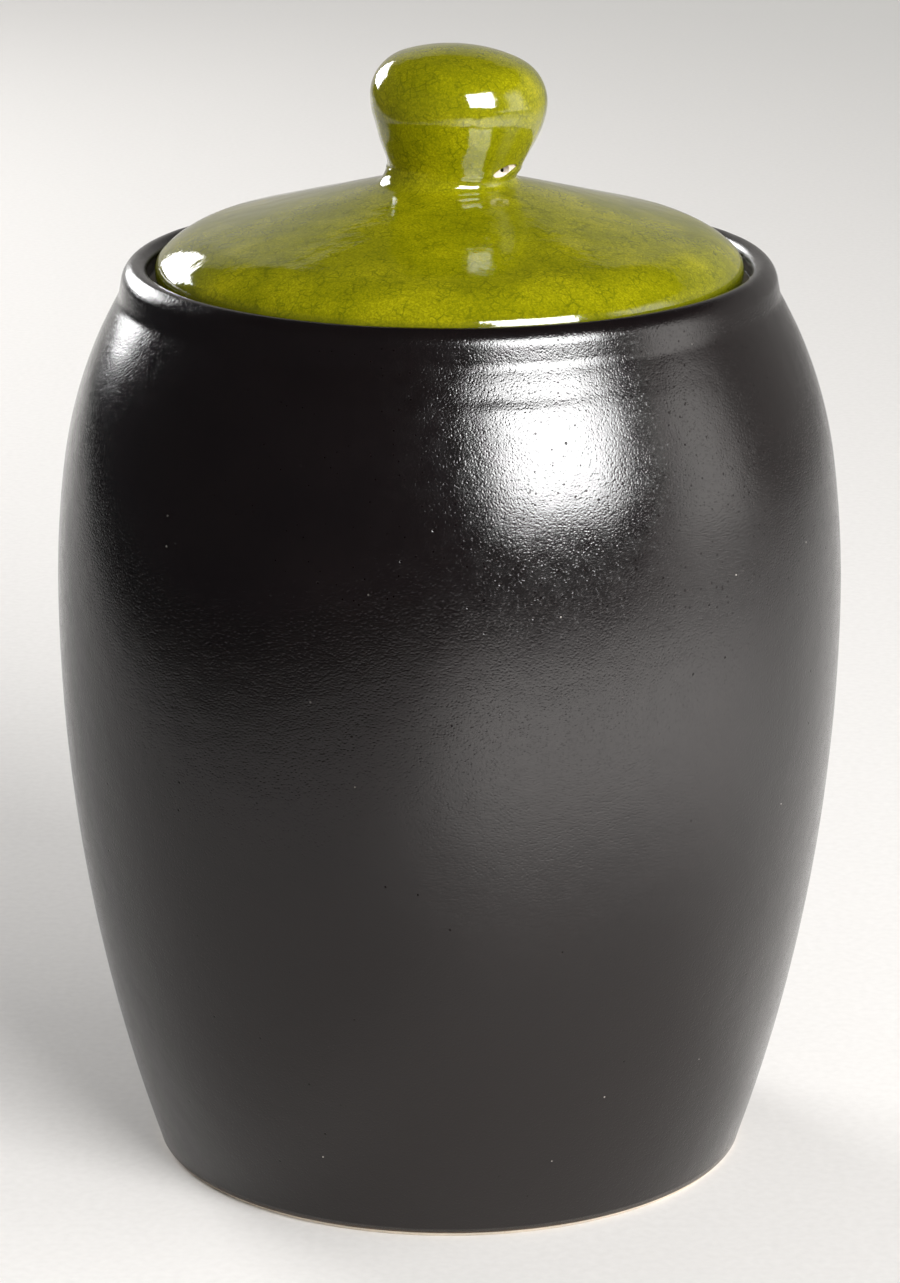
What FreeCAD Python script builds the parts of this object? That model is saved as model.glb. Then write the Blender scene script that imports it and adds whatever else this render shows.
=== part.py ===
import FreeCAD, Part
import math
import os

import Sketcher
from FreeCAD import Vector

# A lidded stoneware biscuit jar: a barrel-shaped jar with a gallery inside its lip,
# a domed lid that drops into the gallery, and a hollow knob stuck on the lid.
# Millimetres, +Z up. The origin is the centre of the circle that the jar stands on.

# Driving dimensions
DIMENSIONS = [
    # Outside of the bare clay jar
    ("belly_radius", 82.1),
    ("belly_height", 121.0),
    ("lower_curve", 381.0),
    ("upper_curve", 218.6),
    ("shoulder_turn", 7.6),
    ("shoulder_curve", 94.6),
    ("collar_radius", 67.8),
    ("collar_fillet", 4.4),
    ("collar_length", 2.4),
    ("lip_thickness", 5.0),
    # Inside of the jar
    ("wall", 5.2),
    ("floor_thickness", 6.5),
    ("floor_fillet", 7.0),
    ("ledge_depth", 4.4),
    ("ledge_width", 7.0),
    ("ledge_edge", 3.6),
    ("ledge_slope", 45.0),
    # Foot
    ("foot_round", 0.6),
    ("foot_width", 7.0),
    ("foot_recess", 1.2),
    # Glaze coats
    ("glaze", 0.4),
    ("bare_foot", 0.9),
    ("bare_lid_edge", 1.0),
    # Lid
    ("lid_clearance", 1.4),
    ("lid_wall", 5.0),
    ("rim_height", 4.6),
    ("rim_width", 10.0),
    ("rim_curve", 19.6),
    ("dome_slope", 15.0),
    ("flange_clearance", 1.2),
    ("flange_depth", 9.0),
    ("flange_thickness", 4.4),
    ("flange_fillet", 3.0),
    # Knob, in its own upright frame
    ("knob_offset", 0.8),
    ("knob_lean", 4.5),
    ("knob_radius", 18.1),
    ("knob_widest", 13.8),
    ("knob_crown", 34.6),
    ("knob_upper_curve", 9.1),
    ("knob_lower_curve", 12.6),
    ("knob_taper", 22.0),
    ("knob_neck", 12.9),
    ("knob_root", 4.0),
    ("knob_wall", 3.6),
    # Vent hole in the knob's neck
    ("vent_radius", 1.1),
    ("vent_bevel_radius", 1.9),
    ("vent_rise", 0.2),
    ("vent_turn", -43.0),
]

document = FreeCAD.newDocument("biscuit_jar")
sizes = document.addObject("Spreadsheet::Sheet", "sizes")
for row, (alias, amount) in enumerate(DIMENSIONS, start=1):
    sizes.set(f"A{row}", alias)
    sizes.set(f"B{row}", str(amount))
    sizes.setAlias(f"B{row}", alias)
document.recompute()


class Size:
    """A size kept twice: its number now, and its formula on the sheet."""

    def __init__(self, number, formula):
        self.number = float(number)
        self.formula = formula

    def __add__(self, other):
        other = as_size(other)
        return Size(self.number + other.number, f"({self.formula} + {other.formula})")

    def __sub__(self, other):
        other = as_size(other)
        return Size(self.number - other.number, f"({self.formula} - {other.formula})")

    def __mul__(self, other):
        other = as_size(other)
        return Size(self.number * other.number, f"({self.formula} * {other.formula})")

    def __truediv__(self, other):
        other = as_size(other)
        return Size(self.number / other.number, f"({self.formula} / {other.formula})")


def as_size(value):
    return value if isinstance(value, Size) else Size(value, str(value))


def sheet(alias):
    return Size(sizes.get(alias), f"sizes.{alias}")


def sine(angle):
    return Size(math.sin(math.radians(angle.number)), f"sin({angle.formula})")


def cosine(angle):
    return Size(math.cos(math.radians(angle.number)), f"cos({angle.formula})")


def tangent(angle):
    return Size(math.tan(math.radians(angle.number)), f"tan({angle.formula})")


def root(value):
    return Size(math.sqrt(value.number), f"sqrt({value.formula})")


ZERO = as_size(0)
GLAZE = sheet("glaze")

# Heights and radii that several pieces share
SHOULDER_X = (
    sheet("belly_radius")
    - sheet("upper_curve")
    + (sheet("upper_curve") - sheet("shoulder_curve")) * cosine(sheet("shoulder_turn"))
)
SHOULDER_Z = sheet("belly_height") + (sheet("upper_curve") - sheet("shoulder_curve")) * sine(
    sheet("shoulder_turn")
)
FILLET_REACH = sheet("collar_radius") + sheet("collar_fillet") - SHOULDER_X
FILLET_SPAN = sheet("shoulder_curve") + sheet("collar_fillet")
COLLAR_FOOT = SHOULDER_Z + root(FILLET_SPAN * FILLET_SPAN - FILLET_REACH * FILLET_REACH)
LIP_CENTRE = COLLAR_FOOT + sheet("collar_length")
SEAT = LIP_CENTRE + sheet("lip_thickness") / 2 - sheet("ledge_depth")
GALLERY_RADIUS = sheet("collar_radius") - sheet("lip_thickness")
LEDGE_RADIUS = GALLERY_RADIUS - sheet("ledge_width")
LID_RADIUS = GALLERY_RADIUS - GLAZE * 2 - sheet("lid_clearance")
FLANGE_RADIUS = LEDGE_RADIUS - GLAZE - sheet("flange_clearance")


class Outline:
    """A sketch on its own body's upright plane, drawn in place and then dimensioned."""

    START, END, CENTRE = 1, 2, 3

    def __init__(self, body, name):
        self.sketch = body.newObject("Sketcher::SketchObject", name)
        plane = next(item for item in body.Origin.OriginFeatures if item.Role == "XZ_Plane")
        self.sketch.AttachmentSupport = [(plane, "")]
        self.sketch.MapMode = "FlatFace"
        document.recompute()

    def line(self, start, end):
        segment = Part.LineSegment(Vector(*start, 0), Vector(*end, 0))
        return self.sketch.addGeometry(segment, False)

    def arc(self, centre, radius, start, end):
        """An arc drawn counterclockwise from one point to another."""
        circle = Part.Circle(Vector(*centre, 0), Vector(0, 0, 1), radius)
        turns = [math.atan2(y - centre[1], x - centre[0]) for x, y in (start, end)]
        if turns[1] <= turns[0]:
            turns[1] += 2 * math.pi
        return self.sketch.addGeometry(Part.ArcOfCircle(circle, *turns), False)

    def join(self, first, first_end, second, second_end):
        self.sketch.addConstraint(
            Sketcher.Constraint("Coincident", first, first_end, second, second_end)
        )

    def smooth(self, first, first_end, second, second_end):
        self.sketch.addConstraint(
            Sketcher.Constraint("Tangent", first, first_end, second, second_end)
        )

    def upright(self, line):
        self.sketch.addConstraint(Sketcher.Constraint("Vertical", line))

    def level(self, line):
        self.sketch.addConstraint(Sketcher.Constraint("Horizontal", line))

    def on_axis(self, line, end):
        self.sketch.addConstraint(Sketcher.Constraint("PointOnObject", line, end, -2))

    def at_origin(self, line, end):
        self.join(line, end, -1, self.START)

    def bind(self, constraint, size):
        index = self.sketch.addConstraint(constraint)
        self.sketch.setExpression(f"Constraints[{index}]", size.formula)

    def radius(self, arc, size):
        self.bind(Sketcher.Constraint("Radius", arc, size.number), size)

    def across(self, geometry, end, size):
        """Distance of a point from the axis."""
        self.bind(
            Sketcher.Constraint("DistanceX", -1, self.START, geometry, end, size.number), size
        )

    def height(self, geometry, end, size):
        """Height of a point above the origin."""
        self.bind(
            Sketcher.Constraint("DistanceY", -1, self.START, geometry, end, size.number), size
        )

    def fall(self, line, angle):
        """Angle of a line that runs outward and down from the axis."""
        self.lean(line, ZERO - angle)

    def lean(self, line, angle):
        """Angle of a line from the level, counterclockwise, in degrees."""
        dimension = Size(math.radians(angle.number), f"{angle.formula} * 1 deg")
        self.bind(Sketcher.Constraint("Angle", line, dimension.number), dimension)


def polar(centre, radius, degrees):
    turn = math.radians(degrees)
    return centre[0] + radius * math.cos(turn), centre[1] + radius * math.sin(turn)


def circle_height(centre, radius, x):
    """Upper height of a circle at a distance from the axis."""
    return centre[1] + math.sqrt(radius**2 - (x - centre[0]) ** 2)


def new_body(name):
    body = document.addObject("PartDesign::Body", name)
    body.Label = name
    return body


def revolve(body, outline, kind, name):
    feature = body.newObject(kind, name)
    feature.Profile = outline.sketch
    feature.ReferenceAxis = (outline.sketch, ["V_Axis"])
    feature.Angle = 360.0
    document.recompute()
    return feature


# The jar's wall: three arcs, from near the foot up to the shoulder
class Wall:
    """The jar's wall curve, moved outward by a given amount, from height `low` up."""

    def __init__(self, outline, shift, low):
        belly_x = sheet("belly_radius") + shift
        lower = sheet("lower_curve") + shift
        upper = sheet("upper_curve") + shift
        shoulder = sheet("shoulder_curve") + shift
        belly_z = sheet("belly_height").number
        turn = sheet("shoulder_turn").number
        lower_centre = (belly_x.number - lower.number, belly_z)
        upper_centre = (belly_x.number - upper.number, belly_z)
        self.shoulder_centre = (SHOULDER_X.number, SHOULDER_Z.number)
        self.shoulder_radius = shoulder.number
        low_x = lower_centre[0] + math.sqrt(lower.number**2 - (belly_z - low) ** 2)
        belly = (belly_x.number, belly_z)
        joint = polar(upper_centre, upper.number, turn)
        self.low_point = (low_x, low)
        self.lower = outline.arc(lower_centre, lower.number, self.low_point, belly)
        self.upper = outline.arc(upper_centre, upper.number, belly, joint)
        outline.smooth(self.lower, Outline.END, self.upper, Outline.START)
        outline.height(self.lower, Outline.CENTRE, sheet("belly_height"))
        outline.height(self.lower, Outline.END, sheet("belly_height"))
        outline.across(self.lower, Outline.END, belly_x)
        outline.radius(self.lower, lower)
        outline.radius(self.upper, upper)
        joint_height = sheet("belly_height") + upper * sine(sheet("shoulder_turn"))
        outline.height(self.upper, Outline.END, joint_height)
        self.joint = joint
        self.size = shoulder

    def shoulder(self, outline, end):
        """The shoulder arc, up to the given end point."""
        arc = outline.arc(self.shoulder_centre, self.shoulder_radius, self.joint, end)
        outline.smooth(self.upper, Outline.END, arc, Outline.START)
        outline.radius(arc, self.size)
        return arc


def lip(outline, wall, shift):
    """Collar, round lip and gallery wall above a wall curve; returns the gallery line."""
    fillet = sheet("collar_fillet") - shift
    collar_x = sheet("collar_radius") + shift
    round_radius = sheet("lip_thickness") / 2 + shift
    gallery_x = GALLERY_RADIUS.number - shift.number
    foot_z = COLLAR_FOOT.number
    lip_z = LIP_CENTRE.number
    fillet_centre = (collar_x.number + fillet.number, foot_z)
    centre_x, centre_z = wall.shoulder_centre
    reach = math.hypot(fillet_centre[0] - centre_x, foot_z - centre_z)
    share = wall.shoulder_radius / reach
    meeting = (
        centre_x + (fillet_centre[0] - centre_x) * share,
        centre_z + (foot_z - centre_z) * share,
    )
    shoulder = wall.shoulder(outline, meeting)
    hollow = outline.arc(fillet_centre, fillet.number, (collar_x.number, foot_z), meeting)
    collar = outline.line((collar_x.number, foot_z), (collar_x.number, lip_z))
    middle = (collar_x.number - round_radius.number, lip_z)
    crown = outline.arc(middle, round_radius.number, (collar_x.number, lip_z), (gallery_x, lip_z))
    gallery = outline.line((gallery_x, lip_z), (gallery_x, SEAT.number))
    outline.smooth(shoulder, Outline.END, hollow, Outline.END)
    outline.radius(hollow, fillet)
    outline.smooth(hollow, Outline.START, collar, Outline.START)
    outline.upright(collar)
    outline.across(collar, Outline.START, collar_x)
    outline.height(collar, Outline.END, LIP_CENTRE)
    outline.smooth(collar, Outline.END, crown, Outline.START)
    outline.radius(crown, round_radius)
    outline.smooth(crown, Outline.END, gallery, Outline.START)
    outline.upright(gallery)
    outline.height(gallery, Outline.END, SEAT)
    return gallery


def closed_jar(body):
    """The clay jar as a full solid up to the ledge, with its gallery and lip."""
    outline = Outline(body, "outside")
    foot_round = sheet("foot_round").number
    wall = Wall(outline, ZERO, foot_round)
    gallery = lip(outline, wall, ZERO)
    foot_x = wall.low_point[0] - foot_round
    base = outline.line((0, 0), (foot_x, 0))
    corner = outline.arc((foot_x, foot_round), foot_round, (foot_x, 0), wall.low_point)
    ledge = outline.line((GALLERY_RADIUS.number, SEAT.number), (0, SEAT.number))
    axis = outline.line((0, SEAT.number), (0, 0))
    outline.at_origin(base, Outline.START)
    outline.level(base)
    outline.smooth(base, Outline.END, corner, Outline.START)
    outline.smooth(corner, Outline.END, wall.lower, Outline.START)
    outline.radius(corner, sheet("foot_round"))
    outline.join(gallery, Outline.END, ledge, Outline.START)
    outline.level(ledge)
    outline.join(ledge, Outline.END, axis, Outline.START)
    outline.on_axis(ledge, Outline.END)
    outline.join(axis, Outline.END, base, Outline.START)
    return revolve(body, outline, "PartDesign::Revolution", "turned_outside")


def chamber(body, kind, name, inset, top):
    """The hollow of the jar, drawn in by `inset`, up to the height `top`."""
    outline = Outline(body, name)
    shift = ZERO - sheet("wall") - inset
    floor = sheet("floor_thickness") + inset
    corner_radius = sheet("floor_fillet") - inset
    half_turn = (as_size(90) - sheet("ledge_slope")) / 2
    hole_x = LEDGE_RADIUS - inset
    hole_z = SEAT - sheet("ledge_edge") - inset * tangent(half_turn)
    wall = Wall(outline, shift, floor.number + corner_radius.number)
    corner_x = wall.low_point[0] - corner_radius.number
    slope = math.radians(sheet("ledge_slope").number)
    along = slope_length(wall, (hole_x.number, hole_z.number), slope)
    under = (
        hole_x.number + along * math.cos(slope),
        hole_z.number - along * math.sin(slope),
    )
    shoulder = wall.shoulder(outline, under)
    base = outline.line((0, floor.number), (corner_x, floor.number))
    corner = outline.arc(
        (corner_x, floor.number + corner_radius.number),
        corner_radius.number,
        (corner_x, floor.number),
        wall.low_point,
    )
    underside = outline.line((hole_x.number, hole_z.number), under)
    hole = outline.line((hole_x.number, hole_z.number), (hole_x.number, top.number))
    lid_line = outline.line((hole_x.number, top.number), (0, top.number))
    axis = outline.line((0, top.number), (0, floor.number))
    outline.level(base)
    outline.on_axis(base, Outline.START)
    outline.height(base, Outline.START, floor)
    outline.smooth(base, Outline.END, corner, Outline.START)
    outline.smooth(corner, Outline.END, wall.lower, Outline.START)
    outline.radius(corner, corner_radius)
    outline.join(shoulder, Outline.END, underside, Outline.END)
    outline.fall(underside, sheet("ledge_slope"))
    outline.join(underside, Outline.START, hole, Outline.START)
    outline.across(hole, Outline.START, hole_x)
    outline.height(hole, Outline.START, hole_z)
    outline.upright(hole)
    outline.height(hole, Outline.END, top)
    outline.join(hole, Outline.END, lid_line, Outline.START)
    outline.level(lid_line)
    outline.on_axis(lid_line, Outline.END)
    outline.join(lid_line, Outline.END, axis, Outline.START)
    outline.join(axis, Outline.END, base, Outline.START)
    return revolve(body, outline, kind, name + "_turned")


def slope_length(wall, corner, slope):
    """Distance from a corner, down and out along a slope, to the shoulder arc."""
    centre_x, centre_z = wall.shoulder_centre
    offset_x = corner[0] - centre_x
    offset_z = corner[1] - centre_z
    half = offset_x * math.cos(slope) - offset_z * math.sin(slope)
    rest = offset_x**2 + offset_z**2 - wall.shoulder_radius**2
    return -half + math.sqrt(half**2 - rest)


def jar_body():
    body = new_body("jar_body")
    closed_jar(body)
    chamber(body, "PartDesign::Groove", "hollow", ZERO, SEAT + sheet("lip_thickness"))
    recess = Outline(body, "foot_recess")
    foot_edge = sheet("belly_radius") - sheet("lower_curve") + root(
        sheet("lower_curve") * sheet("lower_curve")
        - sheet("belly_height") * sheet("belly_height")
    )
    inner = foot_edge - sheet("foot_width")
    depth = sheet("foot_recess")
    rim = recess.line((0, 0), (inner.number, 0))
    side = recess.line((inner.number, 0), (inner.number - depth.number, depth.number))
    roof = recess.line((inner.number - depth.number, depth.number), (0, depth.number))
    axis = recess.line((0, depth.number), (0, 0))
    recess.at_origin(rim, Outline.START)
    recess.level(rim)
    recess.across(rim, Outline.END, inner)
    recess.join(rim, Outline.END, side, Outline.START)
    recess.across(side, Outline.END, inner - depth)
    recess.height(side, Outline.END, depth)
    recess.join(side, Outline.END, roof, Outline.START)
    recess.level(roof)
    recess.on_axis(roof, Outline.END)
    recess.join(roof, Outline.END, axis, Outline.START)
    recess.join(axis, Outline.END, rim, Outline.START)
    revolve(body, recess, "PartDesign::Groove", "foot_recess_turned")
    return body


def jar_glaze_outside():
    """The coat from just above the foot, over the lip and down to the ledge."""
    body = new_body("jar_glaze_outside")
    outline = Outline(body, "coat")
    low = sheet("bare_foot")
    ends = []
    for shift in (ZERO, GLAZE):
        wall = Wall(outline, shift, low.number)
        outline.height(wall.lower, Outline.START, low)
        gallery = lip(outline, wall, shift)
        ends.append((wall, gallery))
    (inner, inner_gallery), (outer, outer_gallery) = ends
    skirt = outline.line(inner.low_point, outer.low_point)
    outline.join(skirt, Outline.START, inner.lower, Outline.START)
    outline.join(skirt, Outline.END, outer.lower, Outline.START)
    seat_z = SEAT.number
    sill = outline.line(
        (GALLERY_RADIUS.number, seat_z), (GALLERY_RADIUS.number - GLAZE.number, seat_z)
    )
    outline.join(sill, Outline.START, inner_gallery, Outline.END)
    outline.join(sill, Outline.END, outer_gallery, Outline.END)
    revolve(body, outline, "PartDesign::Revolution", "coat_turned")
    return body


def jar_glaze_inside():
    """The coat over the floor and the inside wall, up to the ledge's edge."""
    body = new_body("jar_glaze_inside")
    chamber(body, "PartDesign::Revolution", "clay_face", ZERO, SEAT)
    chamber(body, "PartDesign::Groove", "glaze_face", GLAZE, SEAT + sheet("lip_thickness"))
    return body


# The lid, in a frame whose height 0 is the ledge that it rests on
RIM_REACH = sheet("rim_width") + sheet("rim_curve") * sine(sheet("dome_slope"))
RIM_CENTRE_X = LID_RADIUS - RIM_REACH
RIM_CENTRE_Z = sheet("rim_height") - root(
    sheet("rim_curve") * sheet("rim_curve") - RIM_REACH * RIM_REACH
)


def apex(shift):
    """Height of the lid's cone on the axis, moved outward by a given amount."""
    reach = sheet("rim_curve") + shift
    slope = sheet("dome_slope")
    return RIM_CENTRE_Z + reach * cosine(slope) + (RIM_CENTRE_X + reach * sine(slope)) * tangent(slope)


def dome(outline, shift, bottom):
    """The lid's cone, rounded rim and side down to the height `bottom`."""
    reach = sheet("rim_curve") + shift
    slope = sheet("dome_slope").number
    side_x = LID_RADIUS + shift
    centre = (RIM_CENTRE_X.number, RIM_CENTRE_Z.number)
    joint = polar(centre, reach.number, 90 - slope)
    edge = (side_x.number, circle_height(centre, reach.number, side_x.number))
    cone = outline.line((0, apex(shift).number), joint)
    rim = outline.arc(centre, reach.number, edge, joint)
    side = outline.line(edge, (side_x.number, bottom.number))
    outline.on_axis(cone, Outline.START)
    outline.fall(cone, sheet("dome_slope"))
    outline.smooth(cone, Outline.END, rim, Outline.END)
    outline.radius(rim, reach)
    outline.across(rim, Outline.CENTRE, RIM_CENTRE_X)
    outline.height(rim, Outline.CENTRE, RIM_CENTRE_Z)
    outline.join(rim, Outline.START, side, Outline.START)
    outline.upright(side)
    outline.across(side, Outline.END, side_x)
    outline.height(side, Outline.END, bottom)
    return cone, side


def lid_body():
    body = new_body("lid_body")
    outline = Outline(body, "lid_section")
    cone, side = dome(outline, ZERO, ZERO)
    flange_x = FLANGE_RADIUS.number
    depth = sheet("flange_depth").number
    end_radius = (sheet("flange_thickness") / 2).number
    inner = FLANGE_RADIUS - sheet("flange_thickness")
    slope = sheet("dome_slope").number
    fillet = sheet("flange_fillet").number
    ceiling = apex(ZERO) - sheet("lid_wall") / cosine(sheet("dome_slope"))
    turn_x = inner.number - fillet
    turn_z = (
        ceiling.number
        - turn_x * math.tan(math.radians(slope))
        - fillet / math.cos(math.radians(slope))
    )
    under_end = polar((turn_x, turn_z), fillet, 90 - slope)
    seat = outline.line((LID_RADIUS.number, 0), (flange_x, 0))
    outer = outline.line((flange_x, 0), (flange_x, end_radius - depth))
    tip = outline.arc(
        (flange_x - end_radius, end_radius - depth),
        end_radius,
        (inner.number, end_radius - depth),
        (flange_x, end_radius - depth),
    )
    inside = outline.line((inner.number, end_radius - depth), (inner.number, turn_z))
    corner = outline.arc((turn_x, turn_z), fillet, (inner.number, turn_z), under_end)
    under = outline.line((0, ceiling.number), under_end)
    axis = outline.line((0, ceiling.number), (0, apex(ZERO).number))
    outline.join(side, Outline.END, seat, Outline.START)
    outline.level(seat)
    outline.join(seat, Outline.END, outer, Outline.START)
    outline.upright(outer)
    outline.across(outer, Outline.START, FLANGE_RADIUS)
    outline.smooth(outer, Outline.END, tip, Outline.END)
    outline.radius(tip, sheet("flange_thickness") / 2)
    outline.height(tip, Outline.CENTRE, sheet("flange_thickness") / 2 - sheet("flange_depth"))
    outline.smooth(tip, Outline.START, inside, Outline.START)
    outline.upright(inside)
    outline.smooth(inside, Outline.END, corner, Outline.START)
    outline.radius(corner, sheet("flange_fillet"))
    outline.smooth(corner, Outline.END, under, Outline.END)
    outline.fall(under, sheet("dome_slope"))
    outline.on_axis(under, Outline.START)
    outline.height(under, Outline.START, ceiling)
    outline.join(under, Outline.START, axis, Outline.START)
    outline.join(axis, Outline.END, cone, Outline.START)
    revolve(body, outline, "PartDesign::Revolution", "lid_turned")
    body.setExpression("Placement.Base.z", SEAT.formula)
    return body


def dome_mass(name, shift):
    """Everything under the lid's top surface, used only to trim what stands on it."""
    body = new_body(name)
    outline = Outline(body, name + "_section")
    bottom = sheet("bare_lid_edge")
    cone, side = dome(outline, shift, bottom)
    base = outline.line((LID_RADIUS.number + shift.number, bottom.number), (0, bottom.number))
    axis = outline.line((0, bottom.number), (0, apex(shift).number))
    outline.join(side, Outline.END, base, Outline.START)
    outline.level(base)
    outline.on_axis(base, Outline.END)
    outline.join(base, Outline.END, axis, Outline.START)
    outline.join(axis, Outline.END, cone, Outline.START)
    revolve(body, outline, "PartDesign::Revolution", name + "_turned")
    body.setExpression("Placement.Base.z", SEAT.formula)
    return body


# The knob, in a frame on the lid's apex that leans with it
KNOB_DEPTH = sheet("knob_radius") / 2

# How far round its fillet the knob's root spreads before it dips into the lid, in degrees
ROOT_FLARE = 55


def knob_mass(name, shift, foot):
    """The knob as a full solid, moved outward by `shift`, from `foot` below its frame."""
    body = new_body(name)
    outline = Outline(body, name + "_section")
    widest = sheet("knob_widest")
    upper = sheet("knob_upper_curve") + shift
    lower = sheet("knob_lower_curve") + shift
    crown = sheet("knob_crown") + shift
    reach = sheet("knob_radius") + shift
    taper = sheet("knob_taper").number
    root_radius = sheet("knob_root") - shift
    neck_x = sheet("knob_neck") + sheet("knob_root")
    upper_centre = (reach.number - upper.number, widest.number)
    lower_centre = (reach.number - lower.number, widest.number)
    lift = math.sqrt((crown.number - upper.number) ** 2 - upper_centre[0] ** 2)
    crown_centre = (0.0, widest.number - lift)
    share = crown.number / (crown.number - upper.number)
    top_joint = (upper_centre[0] * share, crown_centre[1] + lift * share)
    low_joint = polar(lower_centre, lower.number, -taper)
    side_x, side_z = polar((0.0, 0.0), 1.0, -taper)
    run = (neck_x.number - low_joint[0] - root_radius.number * side_x) / side_z
    neck_end = (low_joint[0] + run * side_z, low_joint[1] - run * side_x)
    root_centre = (neck_x.number, neck_end[1] + root_radius.number * side_z)
    root_end = polar(root_centre, root_radius.number, 180 + ROOT_FLARE)
    top = (0.0, crown_centre[1] + crown.number)
    widest_point = (reach.number, widest.number)
    cap = outline.arc(crown_centre, crown.number, top_joint, top)
    brow = outline.arc(upper_centre, upper.number, widest_point, top_joint)
    cheek = outline.arc(lower_centre, lower.number, low_joint, widest_point)
    neck = outline.line(neck_end, low_joint)
    flare = outline.arc(root_centre, root_radius.number, neck_end, root_end)
    stem = outline.line(root_end, (root_end[0], -foot.number))
    base = outline.line((root_end[0], -foot.number), (0, -foot.number))
    axis = outline.line((0, -foot.number), top)
    outline.smooth(cap, Outline.START, brow, Outline.END)
    outline.on_axis(cap, Outline.CENTRE)
    outline.on_axis(cap, Outline.END)
    outline.radius(cap, crown)
    outline.smooth(brow, Outline.START, cheek, Outline.END)
    outline.radius(brow, upper)
    outline.radius(cheek, lower)
    outline.across(cheek, Outline.END, reach)
    outline.height(cheek, Outline.END, widest)
    outline.height(cheek, Outline.CENTRE, widest)
    outline.smooth(cheek, Outline.START, neck, Outline.END)
    outline.lean(neck, as_size(90) - sheet("knob_taper"))
    outline.smooth(neck, Outline.START, flare, Outline.START)
    outline.radius(flare, root_radius)
    outline.across(flare, Outline.CENTRE, neck_x)
    outline.join(flare, Outline.END, stem, Outline.START)
    outline.upright(stem)
    outline.across(stem, Outline.START, neck_x - root_radius * cosine(as_size(ROOT_FLARE)))
    outline.join(stem, Outline.END, base, Outline.START)
    outline.level(base)
    outline.on_axis(base, Outline.END)
    outline.height(base, Outline.END, ZERO - foot)
    outline.join(base, Outline.END, axis, Outline.START)
    outline.join(axis, Outline.END, cap, Outline.END)
    revolve(body, outline, "PartDesign::Revolution", name + "_turned")
    stand_on_lid(body)
    return body


def stand_on_lid(piece):
    """Leans a piece in the knob's frame and sets it on the lid's apex."""
    piece.setExpression("Placement.Base.x", "sizes.knob_offset")
    piece.setExpression("Placement.Base.z", (SEAT + apex(ZERO)).formula)
    piece.Placement.Rotation = FreeCAD.Rotation(Vector(0, 1, 0), 1.0)
    piece.setExpression("Placement.Rotation.Angle", "sizes.knob_lean")


def boolean(kind, name, base, tool):
    piece = document.addObject(kind, name)
    piece.Label = name
    piece.Base = base
    piece.Tool = tool
    document.recompute()
    return piece


def vent_drill():
    """A small hole that widens outward, through one side of the knob's neck."""
    depth = sheet("knob_radius")
    drill = document.addObject("Part::Cylinder", "vent_drill")
    drill.setExpression("Radius", "sizes.vent_radius")
    drill.setExpression("Height", depth.formula)
    bevel = document.addObject("Part::Cone", "vent_bevel")
    bevel.setExpression("Radius1", "sizes.vent_radius")
    bevel.setExpression("Radius2", "sizes.vent_bevel_radius")
    bevel.setExpression("Height", "sizes.vent_bevel_radius")
    rise = SEAT + apex(ZERO) + sheet("vent_rise")
    turn = sheet("vent_turn")
    outside = sheet("knob_neck") + GLAZE * 2
    for piece, start in ((drill, ZERO), (bevel, outside - sheet("vent_bevel_radius"))):
        upright = FreeCAD.Rotation(Vector(0, 1, 0), 90)
        around = FreeCAD.Rotation(Vector(0, 0, 1), turn.number)
        piece.Placement = FreeCAD.Placement(Vector(0, 0, 0), around.multiply(upright))
        piece.setExpression(
            "Placement.Base.x", (sheet("knob_offset") + start * cosine(turn)).formula
        )
        piece.setExpression("Placement.Base.y", (start * sine(turn)).formula)
        piece.setExpression("Placement.Base.z", rise.formula)
    return boolean("Part::Fuse", "vent", drill, bevel)


def knob_pieces(clay_dome, glazed_dome):
    """The hollow knob and its glaze, trimmed to the lid that they stand on."""
    clay = knob_mass("clay_knob", ZERO, KNOB_DEPTH)
    glazed = knob_mass("glazed_knob", GLAZE, KNOB_DEPTH)
    hollow = knob_mass("knob_hollow", ZERO - sheet("knob_wall"), KNOB_DEPTH)
    vent = vent_drill()
    shell = boolean("Part::Cut", "knob_shell", clay, hollow)
    seated = boolean("Part::Cut", "knob_seated", shell, clay_dome)
    knob = boolean("Part::Cut", "knob_body", seated, vent)
    coat = boolean("Part::Cut", "knob_coat", glazed, clay)
    trimmed = boolean("Part::Cut", "knob_coat_trimmed", coat, glazed_dome)
    knob_glaze = boolean("Part::Cut", "knob_glaze", trimmed, vent)
    lid_coat = boolean("Part::Cut", "lid_coat", glazed_dome, clay_dome)
    lid_glaze = boolean("Part::Cut", "lid_glaze", lid_coat, clay)
    return [knob, knob_glaze, lid_glaze]


def check(pieces):
    for item in document.Objects:
        if "Invalid" in item.State or "Error" in item.State:
            raise RuntimeError(f"{item.Name} failed: {item.State}")
    for piece in pieces:
        if piece.Shape.isNull() or not piece.Shape.isValid() or len(piece.Shape.Solids) != 1:
            raise RuntimeError(f"{piece.Label} is not one valid solid")


pieces = [jar_body(), jar_glaze_outside(), jar_glaze_inside(), lid_body()]
pieces += knob_pieces(dome_mass("clay_dome", ZERO), dome_mass("glazed_dome", GLAZE))
document.recompute()
check(pieces)
os.makedirs("parts", exist_ok=True)
for piece in pieces:
    piece.Shape.exportStep(f"parts/{piece.Label}.step")
    box = piece.Shape.optimalBoundingBox()
    print(f"{piece.Label}: {piece.Shape.Volume:.1f} mm3, height {box.ZMin:.2f} to {box.ZMax:.2f}")
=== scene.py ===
"""Looks of the biscuit jar: a black satin jar, and a lid with a hollow leaning knob in green crackle glaze.

Lengths are metres and angles degrees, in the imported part's frame: Z is up, the foot stands on z = 0, and the
camera side is towards -Y.
"""

import math

import bpy
import numpy as np
from mathutils import Matrix, Vector, noise


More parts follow.
